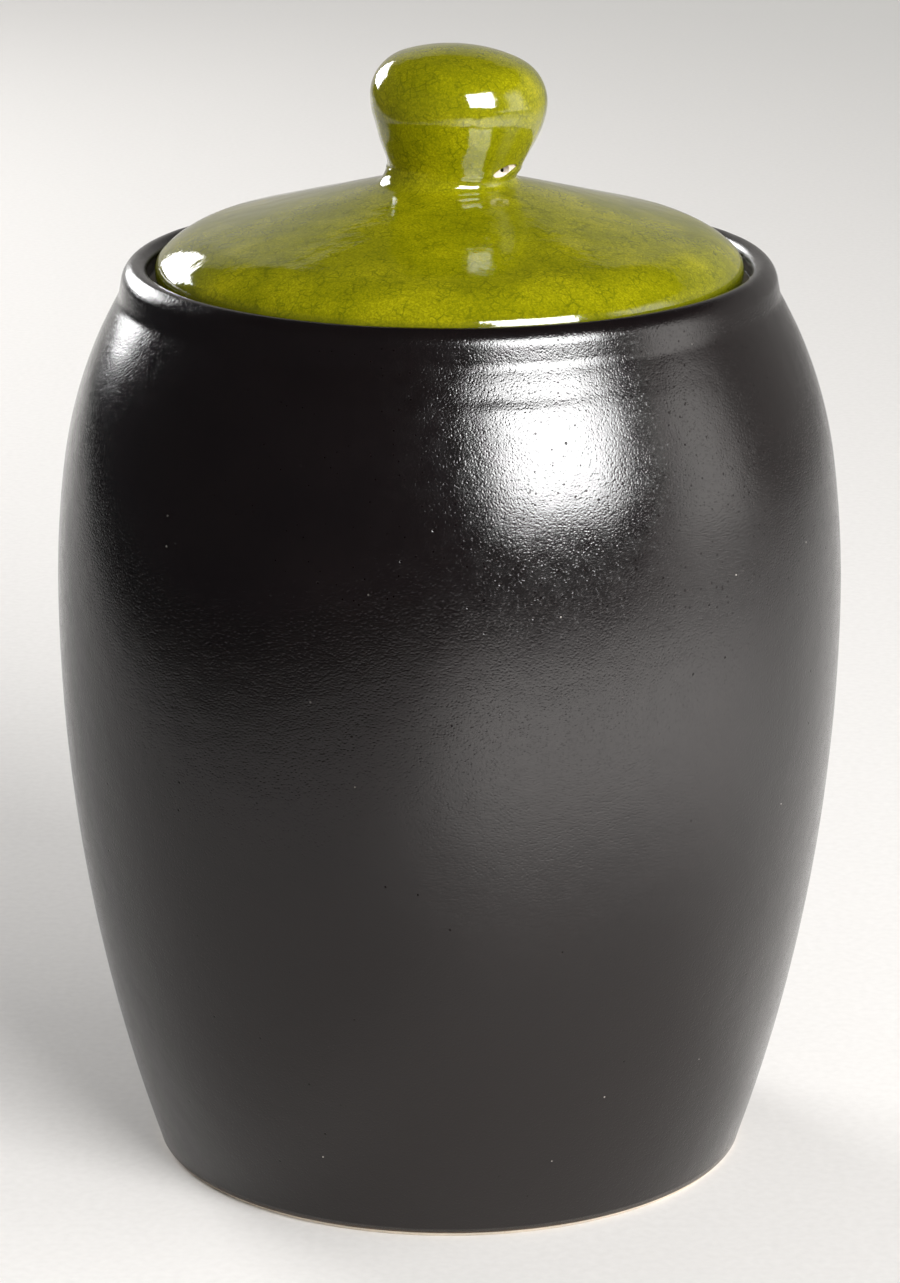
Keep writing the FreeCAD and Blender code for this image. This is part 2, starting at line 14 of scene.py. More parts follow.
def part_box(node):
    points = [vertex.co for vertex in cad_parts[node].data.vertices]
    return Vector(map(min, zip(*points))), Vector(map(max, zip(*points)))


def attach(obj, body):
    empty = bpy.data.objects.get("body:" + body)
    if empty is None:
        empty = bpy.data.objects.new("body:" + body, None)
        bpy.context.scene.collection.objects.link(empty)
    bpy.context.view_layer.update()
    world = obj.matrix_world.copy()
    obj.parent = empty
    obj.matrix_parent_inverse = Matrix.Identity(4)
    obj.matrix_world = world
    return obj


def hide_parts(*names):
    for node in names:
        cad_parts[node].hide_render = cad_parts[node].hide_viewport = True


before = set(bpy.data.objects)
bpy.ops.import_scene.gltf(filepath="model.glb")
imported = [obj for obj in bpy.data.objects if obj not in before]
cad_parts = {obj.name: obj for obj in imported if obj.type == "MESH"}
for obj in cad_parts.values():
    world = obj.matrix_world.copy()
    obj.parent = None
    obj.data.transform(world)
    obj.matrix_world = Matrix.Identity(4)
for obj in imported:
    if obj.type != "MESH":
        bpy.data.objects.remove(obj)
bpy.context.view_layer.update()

MM = 0.001

# Levels and radii read from the frame
BELLY_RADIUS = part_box("jar_glaze_outside")[1].x
GLAZE_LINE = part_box("jar_glaze_outside")[0].z
LIP_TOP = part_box("jar_glaze_outside")[1].z
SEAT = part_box("jar_glaze_inside")[1].z
FLOOR_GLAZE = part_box("jar_glaze_inside")[0].z
LID_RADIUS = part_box("lid_glaze")[1].x
LID_GLAZE_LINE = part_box("lid_glaze")[0].z
FLANGE_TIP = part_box("lid_body")[0].z

# Jar, at the glazed surface. A coat is a little thinner than its distance from the clay, so that the two
# don't touch
GLAZE = 0.4 * MM
COAT = GLAZE * 0.9
WALL = 5.2 * MM
BELLY_HEIGHT = 121 * MM
LOWER_CURVE = 381.4 * MM
UPPER_CURVE = 219 * MM
SHOULDER_CURVE = 95 * MM
SHOULDER_TURN = 7.6
COLLAR_RADIUS = 68.4 * MM
COLLAR_FILLET = 6 * MM
COLLAR_TILT = 10
LIP_OUTER_CURVE = 5 * MM
LIP_TURN = 50
GALLERY_RADIUS = 62.4 * MM
LEDGE_RADIUS = 55.4 * MM
LEDGE_EDGE = 3.6 * MM
FLOOR_FILLET = 6.6 * MM
FOOT_WIDTH = 7 * MM
FOOT_RECESS = 1.2 * MM
FOOT_INSET = 0.3 * MM
RECESS_SLANT = 0.4 * MM
RECESS_ROUND, RING_ROUND_IN, RING_ROUND_OUT = 0.5 * MM, 0.3 * MM, 0.5 * MM
RING_FLAT_IN, RING_FLAT_OUT = 0.5 * MM, 0.8 * MM

# How far hand throwing sinks the jar's outside: swells and ripples, and a groove round its shoulder. The
# groove is deepest in front, and its upper side is wider than its lower one
JAR_SWELL, JAR_SWELL_DEPTH = 26 * MM, 0.05 * MM
JAR_RIPPLE, JAR_RIPPLE_DEPTH = 5 * MM, 0.012 * MM
GROOVE_HEIGHT, GROOVE_DEPTH = 179.4 * MM, 0.19 * MM
GROOVE_ABOVE, GROOVE_BELOW = 3.2 * MM, 1.1 * MM
GROOVE_MIDDLE, GROOVE_SPREAD, GROOVE_ROUND_THE_BACK = 10 * MM, 24 * MM, 0.1
GROOVE_WAVE, GROOVE_WANDER = 24 * MM, 0.9 * MM

# Lid, at the glazed surface
DOME_SLOPE = 15
RIM_CURVE = 20 * MM
RIM_WIDTH = 10.3 * MM
APEX = 212.28 * MM
EDGE_ROUND = 4.5 * MM
LID_WALL = 5 * MM
FLANGE_RADIUS = 54.2 * MM
FLANGE_THICKNESS = 4.4 * MM
FLANGE_FILLET = 3 * MM
SEAT_ROUND, SEAT_FLAT_END = 0.4 * MM, 0.5 * MM
LID_SWELL, LID_SWELL_DEPTH = 10 * MM, 0.045 * MM
LID_RIPPLE, LID_RIPPLE_DEPTH = 4 * MM, 0.015 * MM

# Knob, at the glazed surface, in a frame of its own that leans towards +X
KNOB_BASE = APEX - GLAZE / math.cos(math.radians(DOME_SLOPE))
KNOB_OFFSET = 0.8 * MM
KNOB_LEAN = 4.5
KNOB_RADIUS = 18.5 * MM
KNOB_WIDEST = 13.8 * MM
CROWN_CURVE = 35 * MM
BROW_CURVE = 9.5 * MM
CHEEK_CURVE = 13 * MM
KNOB_TAPER = 22
ROOT_CURVE = 2.5 * MM
KNOB_WALL = 3.6 * MM
KNOB_NECK_LENGTH = 10.5 * MM
KNOB_REACH = KNOB_RADIUS * 1.3
LEAN_BELOW, LEAN_ABOVE = 0.2 * MM, 2 * MM
CHEEK_MIDDLE, CHEEK_HALF, CHEEK_BULGE = 5.5 * MM, 4.5 * MM, 0.09 * MM

# Vent, a hole pierced through the neck of the knob inside a longer bare scoop
VENT_TURN = -43
VENT_HEIGHT = 0.9 * MM
SCOOP_LENGTH = 8 * MM
SCOOP_HEIGHT = 3.1 * MM
SCOOP_TILT = 17
SCOOP_SINK = 0.75
SCOOP_END = 0.98
HOLE_WIDTH = 2.7 * MM
HOLE_HEIGHT = 1.5 * MM
HOLE_ALONG, HOLE_UP = 1.1 * MM, 0.5 * MM
HOLE_IN, HOLE_OUT = -6 * MM, 3 * MM

# Camera, fitted to the outline of the photographed jar
IMAGE_WIDTH = 900
FOCAL_PIXELS = 4713.3
SENSOR_WIDTH = 36
CAMERA_TARGET = Vector((0.1 * MM, 0, 109.3 * MM))
CAMERA_DISTANCE = 1.0
CAMERA_ELEVATION = 16.6
CAMERA_CLIP = (0.01, 50)

# Meshes: the spacing of points along an outline, and the number of steps round it
STEP = 1.3 * MM
FINE_STEP = 0.45 * MM
HIDDEN_SLACK = 0.03 * MM
HIDDEN_MAP_SHARE = 0.1
TURNS, LID_TURNS, KNOB_TURNS = 540, 480, 240
CAP_POINTS, CAP_BULGE = 3, 0.7
SCOOP_RINGS, HOLE_RINGS, CUTTER_SIDES = 25, 7, 24
SAME_POINT, ON_AXIS = 1e-7, 1e-9
NOISE_SHIFT = (3.7, 1.3, 2.1)


# Outlines: rows of (radius, height), drawn in the half plane


def arc(centre, radius, start, end, step=STEP):
    """Points on a round arc from one angle to another, in degrees from +r towards +z."""
    count = max(3, round(abs(math.radians(end - start)) * radius / step) + 1)
    turn = np.radians(np.linspace(start, end, count))
    return np.stack([centre[0] + radius * np.cos(turn), centre[1] + radius * np.sin(turn)], 1)


def run(start, end, step=STEP):
    """Points on a straight run."""
    start, end = np.array(start, float), np.array(end, float)
    count = max(2, round(np.linalg.norm(end - start) / step) + 1)
    return start + (end - start) * np.linspace(0, 1, count)[:, None]


def joined(*parts):
    """The parts as one line, without the doubled points where they meet."""
    line = np.concatenate([np.atleast_2d(p) for p in parts])
    far = np.linalg.norm(np.diff(line, axis=0), axis=1) > SAME_POINT
    return line[np.concatenate([[True], far])]


def thinned(line, slack):
    """Fewer of the line's points. The chords between them stay that close to it."""
    ahead = np.diff(line, axis=0)
    turn = np.unwrap(np.arctan2(ahead[:, 1], ahead[:, 0]))
    kept = [0]
    for i in range(1, len(line) - 1):
        chord = np.linalg.norm(line[i + 1] - line[kept[-1]])
        # An arc stands an eighth of its chord times its turn from the chord
        if chord * abs(turn[i] - turn[kept[-1]]) / 8 > slack:
            kept.append(i)
    return line[kept + [len(line) - 1]]


def offset(line, distance):
    """The line moved to its left by the distance, square to itself."""
    ahead = np.gradient(line, axis=0)
    ahead /= np.linalg.norm(ahead, axis=1)[:, None]
    moved = line + distance * np.stack([-ahead[:, 1], ahead[:, 0]], 1)
    moved[np.abs(line[:, 0]) < ON_AXIS, 0] = 0
    return moved


def rounded_corner(before, corner, after, radius, step=FINE_STEP):
    """An arc that rounds the corner between two straight runs."""
    a, b, c = (np.array(p, float) for p in (before, corner, after))
    u, v = (a - b) / np.linalg.norm(a - b), (c - b) / np.linalg.norm(c - b)
    half = math.acos(np.clip(u @ v, -1, 1)) / 2
    centre = b + (u + v) / np.linalg.norm(u + v) * radius / math.sin(half)
    first, last = b + u * radius / math.tan(half), b + v * radius / math.tan(half)
    start, end = (math.degrees(math.atan2(*(p - centre)[::-1])) for p in (first, last))
    end = start + (end - start + 180) % 360 - 180
    return arc(centre, radius, start, end, step)


def wall_line(depth):
    """The jar's outline that far inside its glazed surface, from the glaze line to the shoulder's end. Also
    the centre of the fillet above it, and the angle at which the shoulder ends."""
    belly = (BELLY_RADIUS - LOWER_CURVE, BELLY_HEIGHT)
    upper = (BELLY_RADIUS - UPPER_CURVE, BELLY_HEIGHT)
    turn = math.radians(SHOULDER_TURN)
    reach = UPPER_CURVE - SHOULDER_CURVE
    shoulder = (upper[0] + reach * math.cos(turn), upper[1] + reach * math.sin(turn))
    foot_turn = math.degrees(math.asin((GLAZE_LINE - BELLY_HEIGHT) / (LOWER_CURVE - depth)))
    # The concave fillet stands outside the shoulder and touches the collar
    span = SHOULDER_CURVE + COLLAR_FILLET
    end_turn = math.degrees(math.acos((COLLAR_RADIUS + COLLAR_FILLET - shoulder[0]) / span))
    line = joined(
        arc(belly, LOWER_CURVE - depth, foot_turn, 0),
        arc(upper, UPPER_CURVE - depth, 0, SHOULDER_TURN),
        arc(shoulder, SHOULDER_CURVE - depth, SHOULDER_TURN, end_turn, STEP * 0.7),
    )
    fillet_turn = math.radians(end_turn)
    fillet = (COLLAR_RADIUS + COLLAR_FILLET, shoulder[1] + span * math.sin(fillet_turn))
    return line, fillet, end_turn


def collar_line(depth):
    """The outline's upper end that far inside the glazed surface: fillet, collar, lip and gallery."""
    _, fillet, end_turn = wall_line(depth)
    tilt, turn = math.radians(COLLAR_TILT), math.radians(LIP_TURN)
    # The collar tilts inward between the fillet and the lip's outer arc, and is tangent to both. That arc
    # turns into a smaller one, which touches the lip's level and ends upright on the gallery's side
    level = fillet[0] * math.cos(tilt) + fillet[1] * math.sin(tilt) - LIP_OUTER_CURVE - COLLAR_FILLET
    top = LIP_TOP - LIP_OUTER_CURVE * math.sin(turn)
    foot = level / math.cos(tilt) - top * math.tan(tilt)
    small = foot + LIP_OUTER_CURVE * math.cos(turn) - GALLERY_RADIUS
    small /= 1 + math.cos(turn) - math.tan(tilt) * (1 - math.sin(turn))
    height = top - small * (1 - math.sin(turn))
    outer = np.array([level / math.cos(tilt) - height * math.tan(tilt), height])
    inner = outer + (LIP_OUTER_CURVE - small) * np.array([math.cos(turn), math.sin(turn)])
    return joined(
        arc(fillet, COLLAR_FILLET + depth, 180 + end_turn, 180 + COLLAR_TILT, FINE_STEP),
        arc(outer, LIP_OUTER_CURVE - depth, COLLAR_TILT, LIP_TURN, FINE_STEP),
        arc(inner, small - depth, LIP_TURN, 180, FINE_STEP),
        run((GALLERY_RADIUS + depth, inner[1]), (GALLERY_RADIUS + depth, SEAT), FINE_STEP),
    )


def inside_line(depth):
    """The chamber's outline that far inside the inner glaze, from the ledge's hole to the floor's middle."""
    line, _, _ = wall_line(2 * GLAZE + WALL - depth)
    hole = LEDGE_RADIUS + depth
    edge = SEAT - LEDGE_EDGE
    under = line[:, 1] < edge - (line[:, 0] - hole)
    wall = line[under & (line[:, 1] > FLOOR_GLAZE + FLOOR_FILLET)][::-1]
    floor = FLOOR_GLAZE - depth
    corner = FLOOR_FILLET + depth
    low = wall[-1]
    return joined(
        run((hole, SEAT), (hole, edge), FINE_STEP),
        run((hole, edge), wall[0], FINE_STEP),
        wall,
        arc((low[0] - corner, floor + corner), corner, 0, -90, STEP),
        run((low[0] - corner, floor), (0, floor), 2 * STEP),
    )


def foot_line():
    """The underside from its middle: the recess, the foot ring and its rounds, up to the glaze."""
    line, _, _ = wall_line(GLAZE)
    ring = line[0][0] - FOOT_INSET
    inner = ring - FOOT_WIDTH
    slant = (inner - RECESS_SLANT, FOOT_RECESS)
    return joined(
        run((0, FOOT_RECESS), (inner - FOOT_RECESS, FOOT_RECESS), 1.5 * STEP),
        rounded_corner((0, FOOT_RECESS), slant, (inner, 0), RECESS_ROUND),
        rounded_corner(slant, (inner, 0), (ring, 0), RING_ROUND_IN),
        run((inner + RING_FLAT_IN, 0), (ring - RING_FLAT_OUT, 0), FINE_STEP),
        rounded_corner((inner, 0), (ring, 0), line[0], RING_ROUND_OUT, step=0.2 * MM),
    )


def dome_line(depth):
    """The lid's upper outline that far inside its glaze, from the rim's side to where the slope begins."""
    slope = math.radians(DOME_SLOPE)
    reach = LID_RADIUS - RIM_WIDTH
    tangent = np.array([reach, APEX - reach * math.tan(slope)])
    centre = tangent - RIM_CURVE * np.array([math.sin(slope), math.cos(slope)])
    side, radius = LID_RADIUS - depth, RIM_CURVE - depth
    # The edge's arc is tangent to the vertical side and to the rim's arc
    small = EDGE_ROUND - depth
    small_r = side - small
    small_turn = math.acos((small_r - centre[0]) / (radius - small))
    small_z = centre[1] + (radius - small) * math.sin(small_turn)
    return joined(
        arc((small_r, small_z), small, 0, math.degrees(small_turn), step=0.25 * MM),
        arc(centre, radius, math.degrees(small_turn), 90 - DOME_SLOPE, FINE_STEP * 1.5),
    )


def knob_line(depth):
    """The knob's outline that far inside its glaze, in its own frame, from its taper up to the crown."""
    brow = np.array([KNOB_RADIUS - BROW_CURVE, KNOB_WIDEST])
    cheek = (KNOB_RADIUS - CHEEK_CURVE, KNOB_WIDEST)
    crown_turn = math.acos(brow[0] / (CROWN_CURVE - BROW_CURVE))
    crown = (0, brow[1] - (CROWN_CURVE - BROW_CURVE) * math.sin(crown_turn))
    return joined(
        arc(cheek, CHEEK_CURVE - depth, -KNOB_TAPER, 0, FINE_STEP),
        arc(brow, BROW_CURVE - depth, 0, math.degrees(crown_turn), FINE_STEP),
        arc(crown, CROWN_CURVE - depth, math.degrees(crown_turn), 90, FINE_STEP),
    )


def root_arc():
    """The centre of the concave arc between the knob's taper and the dome, in the lid's frame."""
    slope, taper = math.radians(DOME_SLOPE), math.radians(KNOB_TAPER)
    taper_top = knob_line(0)[0] + (0, KNOB_BASE)
    # r and z of a centre that is one radius from both straight lines
    lines = np.array([[math.cos(taper), -math.sin(taper)], [math.sin(slope), math.cos(slope)]])
    levels = np.array([lines[0] @ taper_top + ROOT_CURVE, APEX * math.cos(slope) + ROOT_CURVE])
    return np.linalg.solve(lines, levels)


# Meshes


def lathe(name, outline, turns=TURNS, hidden=0):
    """A closed solid of revolution round the Z axis. The outline's last hidden points lie against another
    piece, and get little of the map."""
    outline = np.array(outline, float)
    on_axis = outline[:, 0] < ON_AXIS
    loop = not (on_axis[0] and on_axis[-1])
    turn = 2 * math.pi * np.arange(turns) / turns
    round_ = np.stack([np.cos(turn), np.sin(turn)], 1)
    points, first = [], []
    for (r, z), pole in zip(outline, on_axis):
        first.append(len(points))
        points += [(0, 0, z)] if pole else [(r * c, r * s, z) for c, s in round_]
    share = np.linalg.norm(np.diff(np.vstack([outline, outline[:1]]), axis=0), axis=1)
    share[len(outline) - hidden:] *= HIDDEN_MAP_SHARE
    along = np.concatenate([[0], np.cumsum(share)]) / share.sum()
    faces, maps = [], []
    count = len(outline)
    for i in range(count if loop else count - 1):
        j = (i + 1) % count
        low, high = along[i], along[i + 1]
        for k in range(turns):
            n = (k + 1) % turns
            left, right = k / turns, (k + 1) / turns
            if on_axis[i]:
                faces.append((first[i], first[j] + n, first[j] + k))
                maps += [((left + right) / 2, low), (right, high), (left, high)]
            elif on_axis[j]:
                faces.append((first[i] + k, first[i] + n, first[j]))
                maps += [(left, low), (right, low), ((left + right) / 2, high)]
            else:
                faces.append((first[i] + k, first[i] + n, first[j] + n, first[j] + k))
                maps += [(left, low), (right, low), (right, high), (left, high)]
    mesh = bpy.data.meshes.new(name)
    mesh.from_pydata(points, [], faces)
    uv = mesh.uv_layers.new(name="OFBake")
    uv.data.foreach_set("uv", np.array(maps, np.float32).ravel())
    mesh.update()
    if signed_volume(mesh) < 0:
        mesh.flip_normals()
    mesh.shade_smooth()
    mesh["seen"] = first[count - hidden] if hidden else len(points)
    obj = bpy.data.objects.new(name, mesh)
    bpy.context.scene.collection.objects.link(obj)
    return obj


def signed_volume(mesh):
    """The mesh's volume, negative where its faces look inward."""
    mesh.calc_loop_triangles()
    co = points_of(mesh)
    corners = np.zeros(len(mesh.loop_triangles) * 3, np.int32)
    mesh.loop_triangles.foreach_get("vertices", corners)
    a, b, c = (co[corners.reshape(-1, 3)[:, k]] for k in range(3))
    return np.einsum("ij,ij->i", a, np.cross(b, c)).sum() / 6


def points_of(mesh, what="co"):
    """The mesh's points, or what else is named, as rows of three."""
    values = np.zeros(len(mesh.vertices) * 3, np.float32)
    mesh.vertices.foreach_get(what, values)
    return values.reshape(-1, 3).astype(float)


def place(mesh, points):
    """Puts the mesh's points where they are given."""
    mesh.vertices.foreach_set("co", points.astype(np.float32).ravel())
    mesh.update()


def rough(points, size, seed):
    """Smooth noise between -1 and 1 with features of that size."""
    shift = Vector([seed * along for along in NOISE_SHIFT])
    return np.array([noise.noise(Vector(p) / size + shift) for p in points])


def sunk(obj, relief):
    """Moves the visible surface inward by the relief, a function that gives a depth for each point."""
    points, normals = points_of(obj.data), points_of(obj.data, "normal")
    seen = obj.data["seen"]
    points[:seen] -= normals[:seen] * relief(points[:seen])[:, None]
    place(obj.data, points)
    return obj


def coat(line, depth):
    """A closed outline round a line: the line, then a side that is that far to its left and hidden, with
    rounded ends. Also how many of its points are hidden."""
    back = thinned(offset(line, depth), HIDDEN_SLACK)

    def cap(outer, inner):
        middle, half = (outer + inner) / 2, (inner - outer) / 2
        out = np.array([-half[1], half[0]])
        turn = np.pi * np.arange(1, CAP_POINTS + 1) / (CAP_POINTS + 1)
        return middle - half * np.cos(turn)[:, None] + out * np.sin(turn)[:, None] * CAP_BULGE

    parts = [line]
    if line[-1][0] > ON_AXIS:
        parts.append(cap(line[-1], back[-1]))
    parts.append(back[::-1])
    if line[0][0] > ON_AXIS:
        parts.append(cap(back[0], line[0]))
    return joined(*parts), len(back) + CAP_POINTS


def smooth_step(x):
    """0 below 0, 1 above 1, and a soft step between them."""
    x = np.clip(x, 0, 1)
    return x * x * (3 - 2 * x)


def lean(points):
    """Carries points of the knob, drawn upright on the lid's axis, to the leaning knob. The root between the
    dome and the neck blends."""
    centre = root_arc()
    dome_end = centre[1] - ROOT_CURVE * math.cos(math.radians(DOME_SLOPE)) - LEAN_BELOW
    neck_end = centre[1] + LEAN_ABOVE
    share = smooth_step((points[:, 2] - dome_end) / (neck_end - dome_end))[:, None]
    return points + share * (to_knob(points - (0, 0, KNOB_BASE)) - points)


def to_knob(points):
    """Carries points from the knob's own frame to the jar's."""
    turn = np.array(Matrix.Rotation(math.radians(KNOB_LEAN), 3, "Y"))
    return points @ turn.T + (KNOB_OFFSET, 0, KNOB_BASE)


def finish_piece(obj, body, slot, material, *nodes):
    """Gives a piece its material and its body, and hides the CAD nodes it stands for. The slot is not used."""
    obj.data.materials.append(material)
    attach(obj, body)
    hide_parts(*nodes)
    return obj


# Materials


class Shader:
    """A node material under construction. Calls return output sockets, which other calls take as inputs."""

    def __init__(self, name):
        self.material = bpy.data.materials.new(name)
        self.material.use_nodes = True
        self.tree = self.material.node_tree
        self.surface = self.tree.nodes["Principled BSDF"]
        self.place = self.node("ShaderNodeTexCoord").outputs["Object"]

    def node(self, kind, settings=None, **inputs):
        """A node with its settings and inputs. An input is a number, a colour or another node's output."""
        made = self.tree.nodes.new(kind)
        for key, value in (settings or {}).items():
            setattr(made, key, value)
        for key, value in inputs.items():
            self.feed(made.inputs[key.replace("_", " ")], value)
        return made

    def feed(self, socket, value):
        """Sets a socket to a value, or links it where the value is an output socket."""
        if isinstance(value, bpy.types.NodeSocket):
            self.tree.links.new(value, socket)
        else:
            socket.default_value = value

    def noise(self, size, detail=2.0, harshness=0.5):
        """Noise between 0 and 1 with features of that size."""
        return self.node("ShaderNodeTexNoise", None, Vector=self.place, Scale=1 / size, Detail=detail,
                         Roughness=harshness).outputs["Fac"]

    def cells(self, size, feature="F1", at=None, output="Distance"):
        """A cell pattern with cells of that size."""
        return self.node("ShaderNodeTexVoronoi", {"feature": feature}, Vector=at or self.place,
                         Scale=1 / size).outputs[output]

    def maths(self, operation, *values):
        """One sum on numbers."""
        made = self.node("ShaderNodeMath", {"operation": operation})
        for socket, value in zip(made.inputs, values):
            self.feed(socket, value)
        return made.outputs[0]

    def between(self, value, low, high, to_low=0.0, to_high=1.0):
        """The value carried from one range to another, held at the ends, with soft corners."""
        made = self.node("ShaderNodeMapRange", {"interpolation_type": "SMOOTHSTEP"}, Value=value)
        for name, number in (("From Min", low), ("From Max", high), ("To Min", to_low), ("To Max", to_high)):
            self.feed(made.inputs[name], number)
        return made.outputs[0]

    def blend(self, share, first, second):
        """Two colours mixed by the share of the second."""
        made = self.node("ShaderNodeMix", {"data_type": "RGBA"})
        self.feed(made.inputs["Factor"], share)
        colours = [s for s in made.inputs if s.type == "RGBA"]
        self.feed(colours[0], first)
        self.feed(colours[1], second)
        return next(s for s in made.outputs if s.type == "RGBA")

    def ramp(self, value, *stops):
        """Colours at places between 0 and 1."""
        made = self.node("ShaderNodeValToRGB", None, Fac=value)
        elements = made.color_ramp.elements
        while len(elements) < len(stops):
            elements.new(0.5)
        for element, (position, colour) in zip(elements, stops):
            element.position = position
            element.color = colour
        return made.outputs["Color"]

    def bump(self, height, depth, under=None):
        """A surface normal with the height pattern in relief, on top of another relief."""
        made = self.node("ShaderNodeBump", None, Height=height, Distance=depth)
        if under is not None:
            self.feed(made.inputs["Normal"], under)
        return made.outputs["Normal"]

    def channel(self, colour, index):
        """One channel of a colour."""
        return self.node("ShaderNodeSeparateColor", None, Color=colour).outputs[index]

    def split(self):
        """The place's distance from the Z axis, and its height."""
        parts = self.node("ShaderNodeSeparateXYZ", None, Vector=self.place).outputs
        square = self.maths("ADD", self.maths("MULTIPLY", parts["X"], parts["X"]),
                            self.maths("MULTIPLY", parts["Y"], parts["Y"]))
        return self.maths("SQRT", square), parts["Z"]

    def done(self, **inputs):
        """The material, with these inputs of its surface set."""
        for key, value in inputs.items():
            self.feed(self.surface.inputs[key.replace("_", " ")], value)
        return self.material


def rgb(r, g, b):
    return (r, g, b, 1.0)


# Black glaze: the size and depth of each pattern, the part of a cell that a mark fills, and the share of the
# cells that have one or are free of it
BLACK_SWELL, BLACK_SWELL_DEPTH = 7 * MM, 0.08 * MM
BLACK_PEEL, BLACK_PEEL_DEPTH = 0.4 * MM, 0.042 * MM
BLACK_GRAIN, BLACK_GRAIN_DEPTH, BLACK_GRAIN_EDGE = 0.7 * MM, 0.020 * MM, (0.08, 0.45)
PIT, PIT_DEPTH, PIT_EDGE, PIT_SHARE = 3.2 * MM, 0.05 * MM, (0.045, 0.11), 0.12
PORE, PORE_EDGE, PORE_SHARE, PORES_BEGIN = 1.1 * MM, (0.14, 0.28), 0.20, (115 * MM, 145 * MM)
SPECK, SPECK_EDGE, SPECK_FREE = 7 * MM, (0.018, 0.03), 0.55
SHEEN, SHEEN_IN_PITS = 0.50, 0.12
BLACK_CLOUD, BLACK_DEEP, BLACK_WARM = 22 * MM, rgb(0.0040, 0.0027, 0.0029), rgb(0.0056, 0.0038, 0.0038)
BLACK_LOW_PART, BLACK_LOW = (20 * MM, 120 * MM), rgb(0.0062, 0.0036, 0.0030)
SPECK_COLOUR = rgb(0.35, 0.33, 0.30)
WORN_WIDTH, WORN_COLOUR = 0.8 * MM, rgb(0.10, 0.06, 0.03)
GLOSS_CLOUD, BLACK_ROUGHNESS = 3.5 * MM, (0.13, 0.19)


def black_glaze():
    """Warm black satin glaze: orange peel, a few pits, pores on its upper part, and rare pale specks."""
    s = Shader("black_satin_glaze")
    swell = s.noise(BLACK_SWELL, 2.0)
    peel = s.noise(BLACK_PEEL, 2.0, 0.7)
    grain = s.between(s.cells(BLACK_GRAIN), *BLACK_GRAIN_EDGE)
    # Pits and pores are 0 in their middle and 1 between them
    pits = s.between(s.cells(PIT), *PIT_EDGE)
    spared = s.between(s.channel(s.cells(PIT, output="Color"), 0), PIT_SHARE, PIT_SHARE + 0.01)
    pits = s.maths("MAXIMUM", pits, spared)
    _, height = s.split()
    pores = s.between(s.cells(PORE), *PORE_EDGE)
    spared = s.between(s.channel(s.cells(PORE, output="Color"), 0), PORE_SHARE, PORE_SHARE + 0.01)
    pores = s.maths("MAXIMUM", pores, spared)
    pores = s.maths("MAXIMUM", pores, s.between(height, *PORES_BEGIN, 1.0, 0.0))
    pores = s.maths("MINIMUM", pores, pits)
    relief = s.bump(swell, BLACK_SWELL_DEPTH)
    relief = s.bump(peel, BLACK_PEEL_DEPTH, relief)
    relief = s.bump(grain, BLACK_GRAIN_DEPTH, relief)
    relief = s.bump(pits, PIT_DEPTH, relief)

    specks = s.between(s.cells(SPECK), *SPECK_EDGE, 1.0, 0.0)
    chosen = s.between(s.channel(s.cells(SPECK, output="Color"), 1), SPECK_FREE, SPECK_FREE + 0.01)
    specks = s.maths("MULTIPLY", specks, chosen)
    tone = s.ramp(s.noise(BLACK_CLOUD, 3.0), (0.3, BLACK_DEEP), (0.7, BLACK_WARM))
    low = s.between(height, *BLACK_LOW_PART, 1.0, 0.0)
    tone = s.blend(low, tone, BLACK_LOW)
    colour = s.blend(specks, tone, SPECK_COLOUR)
    worn = s.between(height, GLAZE_LINE, GLAZE_LINE + WORN_WIDTH, 1.0, 0.0)
    colour = s.blend(worn, colour, WORN_COLOUR)
    gloss = s.between(s.noise(GLOSS_CLOUD, 3.0), 0.25, 0.75, *BLACK_ROUGHNESS)
    sheen = s.maths("MULTIPLY_ADD", pores, SHEEN - SHEEN_IN_PITS, SHEEN_IN_PITS)
    return s.done(Base_Color=colour, Roughness=gloss, Specular_IOR_Level=sheen, IOR=1.5, Normal=relief)


# Green glaze: two nets of crackle lines, bent by a drift and shown in patches, over a speckled colour. The
# side of the lid's rim is darker
DRIFT, DRIFT_WIDTH = 1.5 * MM, 0.9 * MM
WIDE_NET, WIDE_LINE, WIDE_PATCH, WIDE_SHOWN = 2.1 * MM, (0.0, 0.11), 3.5 * MM, (0.40, 0.62)
FINE_NET, FINE_LINE, FINE_PATCH, FINE_SHOWN = 1.1 * MM, (0.0, 0.14), 2.5 * MM, (0.42, 0.65)
FINE_STRENGTH, CRACKLE_STRENGTH, CRACKLE_COLOUR = 0.6, 0.5, rgb(0.055, 0.070, 0.002)
GREEN_GRAIN, GREEN_PATCH, GREEN_GRAIN_WEIGHT, GREEN_PATCH_WEIGHT = 0.45 * MM, 11 * MM, 0.6, 0.4
GREEN_DEEP, GREEN_MIDDLE, GREEN_PALE = (
    rgb(0.135, 0.137, 0.0012), rgb(0.210, 0.208, 0.0016), rgb(0.375, 0.345, 0.0045))
RIM_SIDE, RIM_SIDE_TOP = (1.3 * MM, 0.2 * MM), (2.5 * MM, 4.5 * MM)
RIM_SIDE_STRENGTH, RIM_SIDE_COLOUR = 0.6, rgb(0.09, 0.10, 0.003)
GREEN_SWELL, GREEN_SWELL_DEPTH = 5 * MM, 0.10 * MM
GREEN_PEEL, GREEN_PEEL_DEPTH = 0.9 * MM, 0.022 * MM


